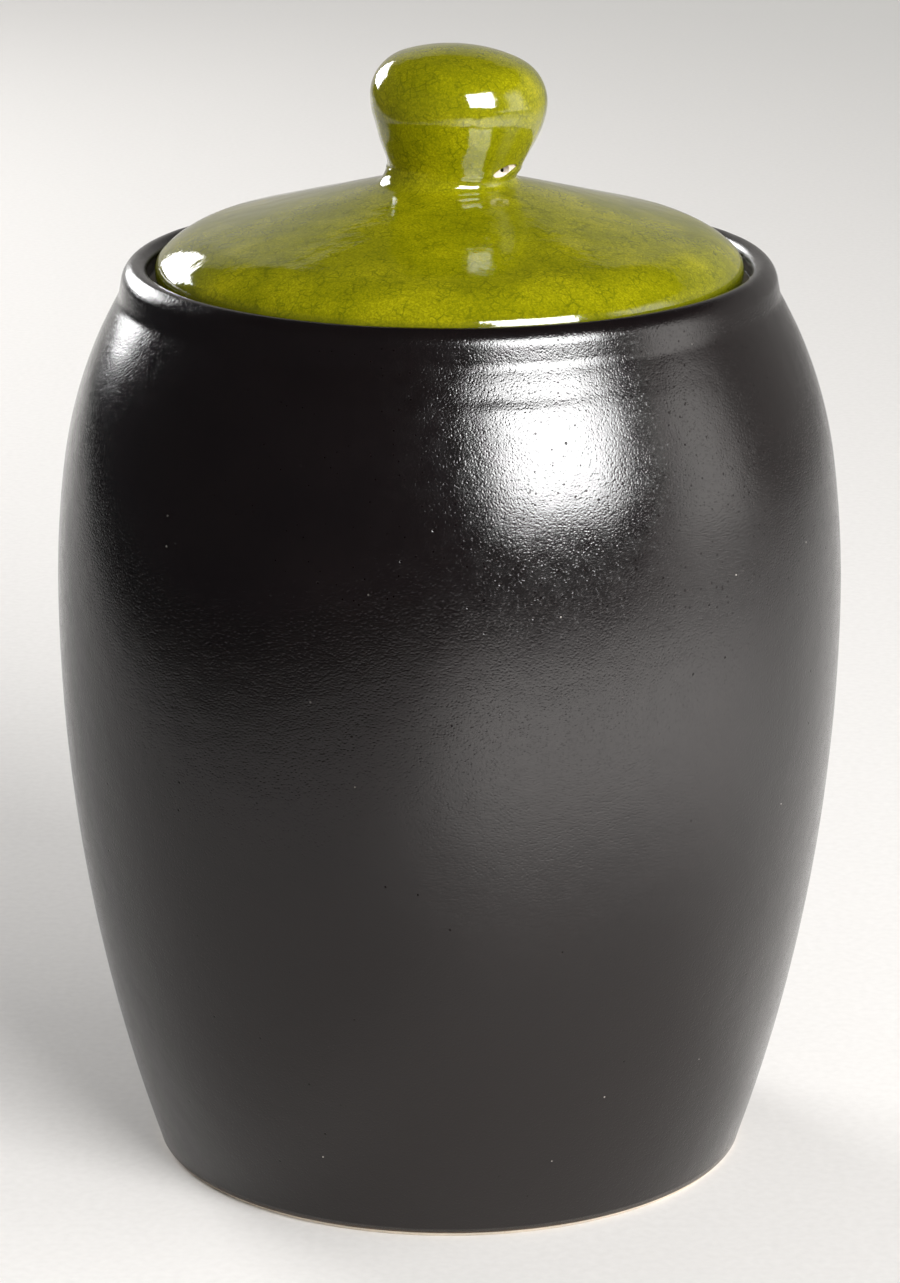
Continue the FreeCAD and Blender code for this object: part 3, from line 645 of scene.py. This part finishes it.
def green_glaze():
    """Glossy olive lime glaze: finely speckled, and crossed by a fine network of dark crackle lines."""
    s = Shader("green_crackle_glaze")
    drift = s.node("ShaderNodeTexNoise", None, Vector=s.place, Scale=1 / DRIFT, Detail=3.0).outputs["Color"]
    shift = s.node("ShaderNodeVectorMath", {"operation": "SCALE"}, Scale=DRIFT_WIDTH)
    s.feed(shift.inputs[0], drift)
    bent = s.node("ShaderNodeVectorMath", {"operation": "ADD"})
    s.feed(bent.inputs[0], s.place)
    s.feed(bent.inputs[1], shift.outputs[0])
    bent = bent.outputs[0]

    wide = s.between(s.cells(WIDE_NET, "DISTANCE_TO_EDGE", bent), *WIDE_LINE, 1.0, 0.0)
    wide = s.maths("MULTIPLY", wide, s.between(s.noise(WIDE_PATCH, 2.0), *WIDE_SHOWN))
    fine = s.between(s.cells(FINE_NET, "DISTANCE_TO_EDGE", bent), *FINE_LINE, 1.0, 0.0)
    fine = s.maths("MULTIPLY", fine, s.between(s.noise(FINE_PATCH, 2.0), *FINE_SHOWN, 0.0, FINE_STRENGTH))
    lines = s.maths("MAXIMUM", wide, fine)

    grain = s.noise(GREEN_GRAIN, 3.0, 0.75)
    patches = s.noise(GREEN_PATCH, 3.0, 0.55)
    thick = s.maths("ADD", s.maths("MULTIPLY", patches, GREEN_PATCH_WEIGHT),
                    s.maths("MULTIPLY", grain, GREEN_GRAIN_WEIGHT))
    colour = s.ramp(thick, (0.34, GREEN_DEEP), (0.50, GREEN_MIDDLE), (0.66, GREEN_PALE))
    colour = s.blend(s.maths("MULTIPLY", lines, CRACKLE_STRENGTH), colour, CRACKLE_COLOUR)
    reach, height = s.split()
    band = s.between(reach, LID_RADIUS - RIM_SIDE[0], LID_RADIUS - RIM_SIDE[1])
    low = s.between(height, LID_GLAZE_LINE + RIM_SIDE_TOP[0], LID_GLAZE_LINE + RIM_SIDE_TOP[1], 1.0, 0.0)
    side = s.maths("MULTIPLY", band, low)
    colour = s.blend(s.maths("MULTIPLY", side, RIM_SIDE_STRENGTH), colour, RIM_SIDE_COLOUR)
    swell = s.noise(GREEN_SWELL, 2.0)
    peel = s.noise(GREEN_PEEL, 2.0)
    relief = s.bump(swell, GREEN_SWELL_DEPTH)
    relief = s.bump(peel, GREEN_PEEL_DEPTH, relief)
    return s.done(Base_Color=colour, Roughness=0.07, IOR=1.55, Normal=relief)


# Bare clay
BUFF = (0.62, 0.54, 0.44)
PALER, DARKER = 1.12, 0.82
GRIT, GRIT_DEPTH, GRIT_WEIGHT = 0.5 * MM, 0.06 * MM, 0.4
CLAY_CLOUD, CLAY_CLOUD_WEIGHT = 12 * MM, 0.6
CLAY_SPECK, CLAY_SPECK_EDGE, CLAY_SPECK_STRENGTH = 1.6 * MM, (0.06, 0.12), 0.6
CLAY_SPECK_COLOUR = rgb(0.30, 0.20, 0.12)
RING, RING_DEPTH = 0.9 * MM, 0.10 * MM


def clay(name, base):
    """Bare fired clay: pale, matt, finely gritty, with the rings that turning left."""
    s = Shader(name)
    grit = s.noise(GRIT, 3.0, 0.7)
    cloud = s.noise(CLAY_CLOUD, 3.0)
    reach, height = s.split()
    pale, dark = [c * PALER for c in base], [c * DARKER for c in base]
    tone = s.maths("ADD", s.maths("MULTIPLY", grit, GRIT_WEIGHT),
                   s.maths("MULTIPLY", cloud, CLAY_CLOUD_WEIGHT))
    colour = s.ramp(tone, (0.35, rgb(*dark)), (0.65, rgb(*pale)))
    specks = s.between(s.cells(CLAY_SPECK), *CLAY_SPECK_EDGE, CLAY_SPECK_STRENGTH, 0.0)
    colour = s.blend(specks, colour, CLAY_SPECK_COLOUR)
    rings = s.node("ShaderNodeTexNoise", {"noise_dimensions": "1D"}, Scale=1 / RING, Detail=2.0)
    s.feed(rings.inputs["W"], s.maths("ADD", reach, height))
    relief = s.bump(rings.outputs["Fac"], RING_DEPTH)
    relief = s.bump(grit, GRIT_DEPTH, relief)
    return s.done(Base_Color=colour, Roughness=0.85, Normal=relief)


# Pieces


def throwing_rings(points):
    """How far hand throwing and thick glaze sink the jar's outside: soft swells, and a wavy groove on its
    shoulder that fades round the jar."""
    swells = JAR_SWELL_DEPTH * (1 + rough(points, JAR_SWELL, seed=1))
    swells += JAR_RIPPLE_DEPTH * (1 + rough(points, JAR_RIPPLE, seed=2))
    front = np.exp(-(((points[:, 0] - GROOVE_MIDDLE) / GROOVE_SPREAD) ** 2)) * (points[:, 1] < 0)
    wander = GROOVE_WANDER * rough(points * (1, 1, 0), GROOVE_WAVE, seed=4)
    above = points[:, 2] - GROOVE_HEIGHT - wander
    groove = np.exp(-((above / np.where(above > 0, GROOVE_ABOVE, GROOVE_BELOW)) ** 2))
    share = GROOVE_ROUND_THE_BACK + (1 - GROOVE_ROUND_THE_BACK) * front
    return swells + GROOVE_DEPTH * share * groove


def dome_swells(points):
    """How far the green glaze sinks between its thicker places. Above and below the middle of the knob's
    cheek it sinks further, which leaves the cheek slightly convex."""
    swells = LID_SWELL_DEPTH * (1 + rough(points, LID_SWELL, seed=5))
    swells += LID_RIPPLE_DEPTH * (1 + rough(points, LID_RIPPLE, seed=6))
    away = np.clip(np.abs(points[:, 2] - KNOB_BASE - CHEEK_MIDDLE) / CHEEK_HALF, 0, 1)
    on_knob = np.hypot(points[:, 0], points[:, 1]) < KNOB_REACH
    return swells + CHEEK_BULGE * (1 - np.cos(np.pi * away)) * on_knob * (points[:, 2] > KNOB_BASE)


def make_jar(black, buff):
    """The jar: bare clay, and the glaze outside and inside it."""
    outline, hidden = coat(joined(wall_line(0)[0], collar_line(0)), COAT)
    outside = sunk(lathe("jar_outside_glaze", outline, hidden=hidden), throwing_rings)
    finish_piece(outside, "root", "black_glaze", black, "jar_glaze_outside")

    outline, hidden = coat(inside_line(0), COAT)
    inside = lathe("jar_inside_glaze", outline, TURNS // 2, hidden)
    finish_piece(inside, "root", "black_glaze", black, "jar_glaze_inside")

    line = joined(
        foot_line(), wall_line(GLAZE)[0][1:], collar_line(GLAZE),
        run((GALLERY_RADIUS + GLAZE, SEAT), (LEDGE_RADIUS + GLAZE, SEAT), FINE_STEP),
        inside_line(GLAZE),
    )
    body = lathe("jar_clay", line, TURNS // 2)
    finish_piece(body, "root", "bare_clay", buff, "jar_body")


def lid_clay_line():
    """The lid's bare clay: hollow underside, flange, seat, side, and the dome under the glaze."""
    slope = math.radians(DOME_SLOPE)
    bore = FLANGE_RADIUS - FLANGE_THICKNESS
    ceiling = KNOB_BASE - LID_WALL / math.cos(slope)
    shoulder = (bore, ceiling - bore * math.tan(slope))
    tip = FLANGE_THICKNESS / 2
    side = LID_RADIUS - GLAZE
    dome = dome_line(GLAZE)
    slope_end = bore - 2 * FLANGE_FILLET
    return joined(
        run((0, ceiling), (slope_end, ceiling - slope_end * math.tan(slope))),
        rounded_corner((0, ceiling), shoulder, (bore, FLANGE_TIP), FLANGE_FILLET),
        run((bore, FLANGE_TIP + 2 * tip), (bore, FLANGE_TIP + tip), FINE_STEP),
        arc((bore + tip, FLANGE_TIP + tip), tip, 180, 360, FINE_STEP),
        run((FLANGE_RADIUS, FLANGE_TIP + tip), (FLANGE_RADIUS, SEAT), FINE_STEP),
        run((FLANGE_RADIUS, SEAT), (side - SEAT_FLAT_END, SEAT), FINE_STEP),
        rounded_corner((FLANGE_RADIUS, SEAT), (side, SEAT), (side, LID_GLAZE_LINE), SEAT_ROUND,
                       step=0.15 * MM),
        dome,
        run(dome[-1], (0, KNOB_BASE), 3 * STEP),
    )


def green_line(depth):
    """The green glaze's outline that far inside its surface, from the lid's glaze line to the crown of the
    knob, which stands upright."""
    slope, taper = math.radians(DOME_SLOPE), math.radians(KNOB_TAPER)
    centre = root_arc()
    dome = dome_line(depth)
    knob = knob_line(depth) + (0, KNOB_BASE)
    radius = ROOT_CURVE + depth
    dome_foot = centre - radius * np.array([math.sin(slope), math.cos(slope)])
    taper_foot = centre + radius * np.array([-math.cos(taper), math.sin(taper)])
    return joined(
        run((LID_RADIUS - depth, LID_GLAZE_LINE), dome[0], step=0.3 * MM),
        dome,
        run(dome[-1], dome_foot, FINE_STEP * 2),
        arc(centre, radius, 270 - DOME_SLOPE, 180 - KNOB_TAPER, step=0.2 * MM),
        run(taper_foot, knob[0], FINE_STEP),
        knob,
    )


def vent_place(along, out, up):
    """A point near the vent, in the knob's frame: along its neck, out from its surface and up."""
    taper = math.radians(KNOB_TAPER)
    top = knob_line(0)[0]
    neck = top[0] - (top[1] - VENT_HEIGHT) * math.tan(taper)
    turn = math.radians(VENT_TURN) + along / neck
    r = neck + out
    return (r * math.cos(turn), r * math.sin(turn), VENT_HEIGHT + up)


def tube_mesh(name, rings):
    """A closed tube through rings of points, capped at both ends."""
    rings = [np.array(r, float) for r in rings]
    n = len(rings[0])
    faces = [tuple(range(n))[::-1], tuple(range((len(rings) - 1) * n, len(rings) * n))]
    for i in range(len(rings) - 1):
        for k in range(n):
            faces.append((i * n + k, i * n + (k + 1) % n, (i + 1) * n + (k + 1) % n, (i + 1) * n + k))
    mesh = bpy.data.meshes.new(name)
    mesh.from_pydata([tuple(p) for p in to_knob(np.concatenate(rings))], [], faces)
    mesh.update()
    if signed_volume(mesh) < 0:
        mesh.flip_normals()
    obj = bpy.data.objects.new(name, mesh)
    bpy.context.scene.collection.objects.link(obj)
    obj.hide_render = True
    return obj


def scoop_cutter():
    """The pointed scoop round the vent: a spindle that follows the neck."""
    rings = []
    for share in np.linspace(-SCOOP_END, SCOOP_END, SCOOP_RINGS):
        along = share * SCOOP_LENGTH / 2
        half = (1 - share * share) * SCOOP_HEIGHT / 2
        rise = along * math.tan(math.radians(SCOOP_TILT))
        rings.append([
            vent_place(along, half * SCOOP_SINK * math.cos(t), rise + half * math.sin(t))
            for t in np.linspace(0, 2 * math.pi, CUTTER_SIDES, endpoint=False)
        ])
    return tube_mesh("vent_scoop", rings)


def hole_cutter():
    """The vent's hole: a flattened bore through the neck into the hollow of the knob."""
    rings = []
    for out in np.linspace(HOLE_IN, HOLE_OUT, HOLE_RINGS):
        rings.append([
            vent_place(HOLE_WIDTH / 2 * math.cos(t) + HOLE_ALONG, out,
                       HOLE_HEIGHT / 2 * math.sin(t) + HOLE_UP)
            for t in np.linspace(0, 2 * math.pi, CUTTER_SIDES, endpoint=False)
        ])
    return tube_mesh("vent_hole", rings)


def cut(obj, *cutters):
    """Cuts the closed cutters out of a piece, and keeps the result as its mesh."""
    for cutter in cutters:
        tool = obj.modifiers.new("cut", "BOOLEAN")
        tool.operation, tool.solver, tool.object = "DIFFERENCE", "EXACT", cutter
    bpy.context.view_layer.update()
    result = bpy.data.meshes.new_from_object(obj.evaluated_get(bpy.context.evaluated_depsgraph_get()))
    obj.modifiers.clear()
    obj.data = result
    return obj


def make_lid(green, buff):
    """The lid: bare clay below, a hollow clay knob, and one coat of green glaze over both."""
    finish_piece(lathe("lid_clay", lid_clay_line(), TURNS // 2), "lid", "bare_clay", buff, "lid_body")

    scoop, hole = scoop_cutter(), hole_cutter()

    taper_top = knob_line(GLAZE)[0]
    taper = math.radians(KNOB_TAPER)
    root = taper_top - KNOB_NECK_LENGTH * np.array([math.sin(taper), math.cos(taper)])
    outline, hidden = coat(joined(run(root, taper_top, FINE_STEP), knob_line(GLAZE)), KNOB_WALL)
    knob = lathe("knob_clay", outline, KNOB_TURNS, hidden)
    place(knob.data, to_knob(points_of(knob.data)))
    finish_piece(cut(knob, scoop, hole), "lid", "bare_clay", buff, "knob_body")

    outline, hidden = coat(green_line(0), COAT)
    glaze = lathe("green_glaze", outline, LID_TURNS, hidden)
    place(glaze.data, lean(points_of(glaze.data)))
    sunk(glaze, dome_swells)
    finish_piece(cut(glaze, scoop, hole), "lid", "green_glaze", green, "lid_glaze", "knob_glaze")
    for cutter in (scoop, hole):
        bpy.data.objects.remove(cutter)


# Studio

# A round floor, the cove and wall round it, and its paper
FLOOR_RADIUS, COVE, WALL_HEIGHT, STAGE_TURNS = 3.2, 1.2, 3.2, 128
PAPER_THICKNESS = 0.05
FIBRE, FIBRE_DEPTH = 2 * MM, 0.02 * MM
PAPER_DEEP, PAPER_PALE = rgb(0.80, 0.775, 0.745), rgb(0.84, 0.815, 0.785)

# The plain tone that the camera finds instead of the lit paper, and where it begins: far from the jar all
# round, and nearer beside and before it, where the lamps stand over the paper
PLAIN_LEFT, PLAIN_RIGHT, PLAIN_ACROSS = rgb(0.56, 0.545, 0.527), rgb(0.565, 0.558, 0.535), (-0.4, 0.4)
PLAIN_REACH, NEARER_REACH = (0.35, 2.2), (0.25, 0.75)
BESIDE_JAR, BESIDE_EDGE = 0.3, (0.0, 0.35)

# What reflections find there, painted light that only reflections see: a tone that fades up the wall, and on
# the right a painted reflection of a card, brighter than white
MIRRORED_LEFT, MIRRORED_RIGHT, MIRRORED_ACROSS = rgb(0.56, 0.54, 0.52), rgb(0.38, 0.365, 0.35), (-0.9, 0.9)
MIRRORED_FADE, MIRRORED_TOP = (1.2, 3.2), 0.4
MIRRORED_CARD_COLOUR, MIRRORED_CARD_SIDE, MIRRORED_CARD_TOP = rgb(3.0, 2.9, 2.8), (1.2, 2.2), (2.0, 3.2)
MIRRORED_CARD_FRONT, MIRRORED_CARD_BACK = (-2.3, -1.1), (-0.3, 0.9)

# Reflections find the room painted dark in front and on the left, a third dark nearer the jar's left, and a
# painted glow, brighter than white, on a patch of the floor before the jar and on its right
DARK_COLOUR = rgb(0.05, 0.05, 0.055)
DARK_SIDE, DARK_EDGE = (-0.90, -0.44), (0.33, 0.45)
DIM_EDGE, DIM_SHARE = (0.02, 0.12), 0.34
DARK_FRONT = (-0.75, -0.45)
PAINTED_GLOW_COLOUR, PAINTED_GLOW_STRENGTH = rgb(1.0, 0.96, 0.93), 3.1
PAINTED_GLOW_SIDE, PAINTED_GLOW_TILT = (-0.17, 0.03), 0.15
PAINTED_GLOW_START, PAINTED_GLOW_END, PAINTED_GLOW_BACK = (0.17, 0.36), (0.58, 0.78), (-0.28, 0.15)

# Lamps and the room. A lamp's mirror image stands a little nearer, because one of two lamps in the same place
# is lost from reflections
LAMP_AIM = Vector((0, 0, 0.17))
MIRROR_DISTANCE = 0.99
ROOM_COLOUR, ROOM_LIGHT, ROOM_REFLECTED = rgb(0.92, 0.95, 1.0), 0.27, 0.03


def direction(azimuth, elevation):
    """The unit vector at an angle round from the camera side, + to the right, and above the horizon."""
    a, e = math.radians(azimuth), math.radians(elevation)
    return Vector((math.sin(a) * math.cos(e), -math.cos(a) * math.cos(e), math.sin(e)))


def softbox(name, azimuth, elevation, distance, width, height, light, shine=0):
    """A rectangular lamp that faces the jar's shoulder. Width and height are angles, as the jar sees it. One
    lamp gives its light, and another its mirror image, each at its own level."""
    back = direction(azimuth, elevation)
    for part, level, away in (("light", light, distance), ("shine", shine, MIRROR_DISTANCE * distance)):
        if level == 0:
            continue
        lamp = bpy.data.lights.new(f"{name}_{part}", "AREA")
        lamp.shape = "RECTANGLE"
        lamp.size = 2 * away * math.tan(math.radians(width / 2))
        lamp.size_y = 2 * away * math.tan(math.radians(height / 2))
        lamp.energy = level * math.pi * lamp.size * lamp.size_y
        obj = bpy.data.objects.new(f"{name}_{part}", lamp)
        obj.location = LAMP_AIM + back * away
        obj.rotation_euler = back.to_track_quat("Z", "Y").to_euler()
        obj.visible_camera = False
        obj.visible_diffuse = part == "light"
        obj.visible_glossy = part == "shine"
        bpy.context.scene.collection.objects.link(obj)


def make_stage():
    """A pale floor that curves up into a wall all round. Reflections find painted tones on it: the room dark
    in front and on the left, pale behind, and a painted glow on the right."""
    outside = FLOOR_RADIUS + COVE + PAPER_THICKNESS
    line = joined(
        run((0, 0), (FLOOR_RADIUS, 0), 0.1),
        arc((FLOOR_RADIUS, COVE), COVE, -90, 0, 0.1),
        run((FLOOR_RADIUS + COVE, COVE), (FLOOR_RADIUS + COVE, WALL_HEIGHT), 0.3),
        run((outside, WALL_HEIGHT), (outside, -PAPER_THICKNESS), 0.5),
        run((outside, -PAPER_THICKNESS), (0, -PAPER_THICKNESS), 0.5),
    )
    floor = lathe("studio_floor", line, STAGE_TURNS)
    s = Shader("pale_paper")
    fibre = s.noise(FIBRE, 3.0)
    colour = s.ramp(fibre, (0.3, PAPER_DEEP), (0.7, PAPER_PALE))
    s.done(Base_Color=colour, Roughness=0.9, Normal=s.bump(fibre, FIBRE_DEPTH))
    reach, height = s.split()
    ray = s.node("ShaderNodeLightPath").outputs
    parts = s.node("ShaderNodeSeparateXYZ", None, Vector=s.place).outputs

    seen = s.maths("MAXIMUM", ray["Is Camera Ray"], ray["Is Glossy Ray"])
    beside = s.maths("MAXIMUM", s.maths("SUBTRACT", s.maths("ABSOLUTE", parts["X"]), BESIDE_JAR),
                     s.maths("MULTIPLY", parts["Y"], -1.0))
    near = s.maths("MULTIPLY", s.between(beside, *BESIDE_EDGE), s.between(reach, *NEARER_REACH))
    near = s.maths("MULTIPLY", near, ray["Is Camera Ray"])
    far = s.maths("MAXIMUM", s.maths("MULTIPLY", s.between(reach, *PLAIN_REACH), seen), near)
    # Painted reflection: the wall's tone and a bright card, seen only by reflections
    reflected = s.blend(s.between(parts["X"], *MIRRORED_ACROSS), MIRRORED_LEFT, MIRRORED_RIGHT)
    reflected = s.blend(s.between(height, *MIRRORED_FADE), reflected,
                        s.blend(MIRRORED_TOP, reflected, rgb(0, 0, 0)))
    mirrored_card = s.maths("MULTIPLY", s.between(parts["X"], *MIRRORED_CARD_SIDE), s.between(height, *MIRRORED_CARD_TOP, 1.0, 0.0))
    mirrored_card = s.maths("MULTIPLY", mirrored_card, s.between(parts["Y"], *MIRRORED_CARD_FRONT))
    mirrored_card = s.maths("MULTIPLY", mirrored_card, s.between(parts["Y"], *MIRRORED_CARD_BACK, 1.0, 0.0))
    reflected = s.blend(mirrored_card, reflected, MIRRORED_CARD_COLOUR)
    plain = s.blend(s.between(parts["X"], *PLAIN_ACROSS), PLAIN_LEFT, PLAIN_RIGHT)
    tone = s.blend(ray["Is Glossy Ray"], plain, reflected)
    pale = s.node("ShaderNodeEmission", None, Color=tone, Strength=1.0)
    backdrop = s.node("ShaderNodeMixShader")
    s.feed(backdrop.inputs[0], far)
    s.feed(backdrop.inputs[1], s.surface.outputs[0])
    s.feed(backdrop.inputs[2], pale.outputs[0])

    # Painted dark reflection of the room in front and on the left, seen only by reflections
    beyond = s.maths("ADD", s.maths("MULTIPLY", parts["X"], DARK_SIDE[0]),
                     s.maths("MULTIPLY", parts["Y"], DARK_SIDE[1]))
    left = s.between(beyond, *DARK_EDGE)
    left = s.maths("MAXIMUM", left, s.between(beyond, *DIM_EDGE, 0.0, DIM_SHARE))
    front = s.between(parts["Y"], *DARK_FRONT, 1.0, 0.0)
    dark = s.maths("MULTIPLY", s.maths("MAXIMUM", left, front), ray["Is Glossy Ray"])

    # Painted glow, brighter than white, on the floor before the jar and on its right, seen only by reflections
    right = s.between(s.maths("ADD", parts["X"], s.maths("MULTIPLY", parts["Y"], PAINTED_GLOW_TILT)), *PAINTED_GLOW_SIDE)
    ring = s.maths("MULTIPLY", s.between(reach, *PAINTED_GLOW_START), s.between(reach, *PAINTED_GLOW_END, 1.0, 0.0))
    painted_glow = s.maths("MULTIPLY", s.maths("MULTIPLY", right, ring), s.between(parts["Y"], *PAINTED_GLOW_BACK, 1.0, 0.0))
    dark = s.maths("MULTIPLY", dark, s.maths("SUBTRACT", 1.0, s.maths("MAXIMUM", mirrored_card, painted_glow)))
    glow = s.node("ShaderNodeEmission", None, Color=PAINTED_GLOW_COLOUR, Strength=PAINTED_GLOW_STRENGTH)
    brighter = s.node("ShaderNodeMixShader")
    s.feed(brighter.inputs[0], s.maths("MULTIPLY", painted_glow, ray["Is Glossy Ray"]))
    s.feed(brighter.inputs[1], backdrop.outputs[0])
    s.feed(brighter.inputs[2], glow.outputs[0])
    room = s.node("ShaderNodeEmission", None, Color=DARK_COLOUR, Strength=1.0)
    mix = s.node("ShaderNodeMixShader")
    s.feed(mix.inputs[0], dark)
    s.feed(mix.inputs[1], brighter.outputs[0])
    s.feed(mix.inputs[2], room.outputs[0])
    s.feed(s.tree.nodes["Material Output"].inputs["Surface"], mix.outputs[0])
    floor.data.materials.append(s.material)


def make_world():
    """Soft light from the room above the wall. It reflects as a dark ceiling."""
    world = bpy.data.worlds.new("room")
    world.use_nodes = True
    tree = world.node_tree
    background = tree.nodes["Background"]
    background.inputs["Color"].default_value = ROOM_COLOUR
    ray = tree.nodes.new("ShaderNodeLightPath")
    level = tree.nodes.new("ShaderNodeMapRange")
    level.inputs["To Min"].default_value = ROOM_LIGHT
    level.inputs["To Max"].default_value = ROOM_REFLECTED
    tree.links.new(ray.outputs["Is Glossy Ray"], level.inputs["Value"])
    tree.links.new(level.outputs[0], background.inputs["Strength"])
    bpy.context.scene.world = world


def make_camera():
    """The camera at the photograph's angle."""
    data = bpy.data.cameras.new("camera")
    data.sensor_fit = "HORIZONTAL"
    data.sensor_width = SENSOR_WIDTH
    data.lens = FOCAL_PIXELS * SENSOR_WIDTH / IMAGE_WIDTH
    data.clip_start, data.clip_end = CAMERA_CLIP
    camera = bpy.data.objects.new("camera", data)
    back = direction(0, CAMERA_ELEVATION)
    camera.location = CAMERA_TARGET + back * CAMERA_DISTANCE
    camera.rotation_euler = back.to_track_quat("Z", "Y").to_euler()
    bpy.context.scene.collection.objects.link(camera)
    bpy.context.scene.camera = camera


make_camera()
make_stage()
make_world()
softbox("key", azimuth=33.5, elevation=25, distance=1.8, width=33, height=32, light=12.6, shine=33)
softbox("rear", azimuth=-144, elevation=15, distance=1.9, width=25, height=20, light=16, shine=15)
softbox("reflector", azimuth=82, elevation=20, distance=0.9, width=40, height=40, light=2.2)

buff_clay = clay("buff_clay", BUFF)
make_jar(black_glaze(), buff_clay)
make_lid(green_glaze(), buff_clay)

bpy.context.scene.view_settings.view_transform = "Standard"
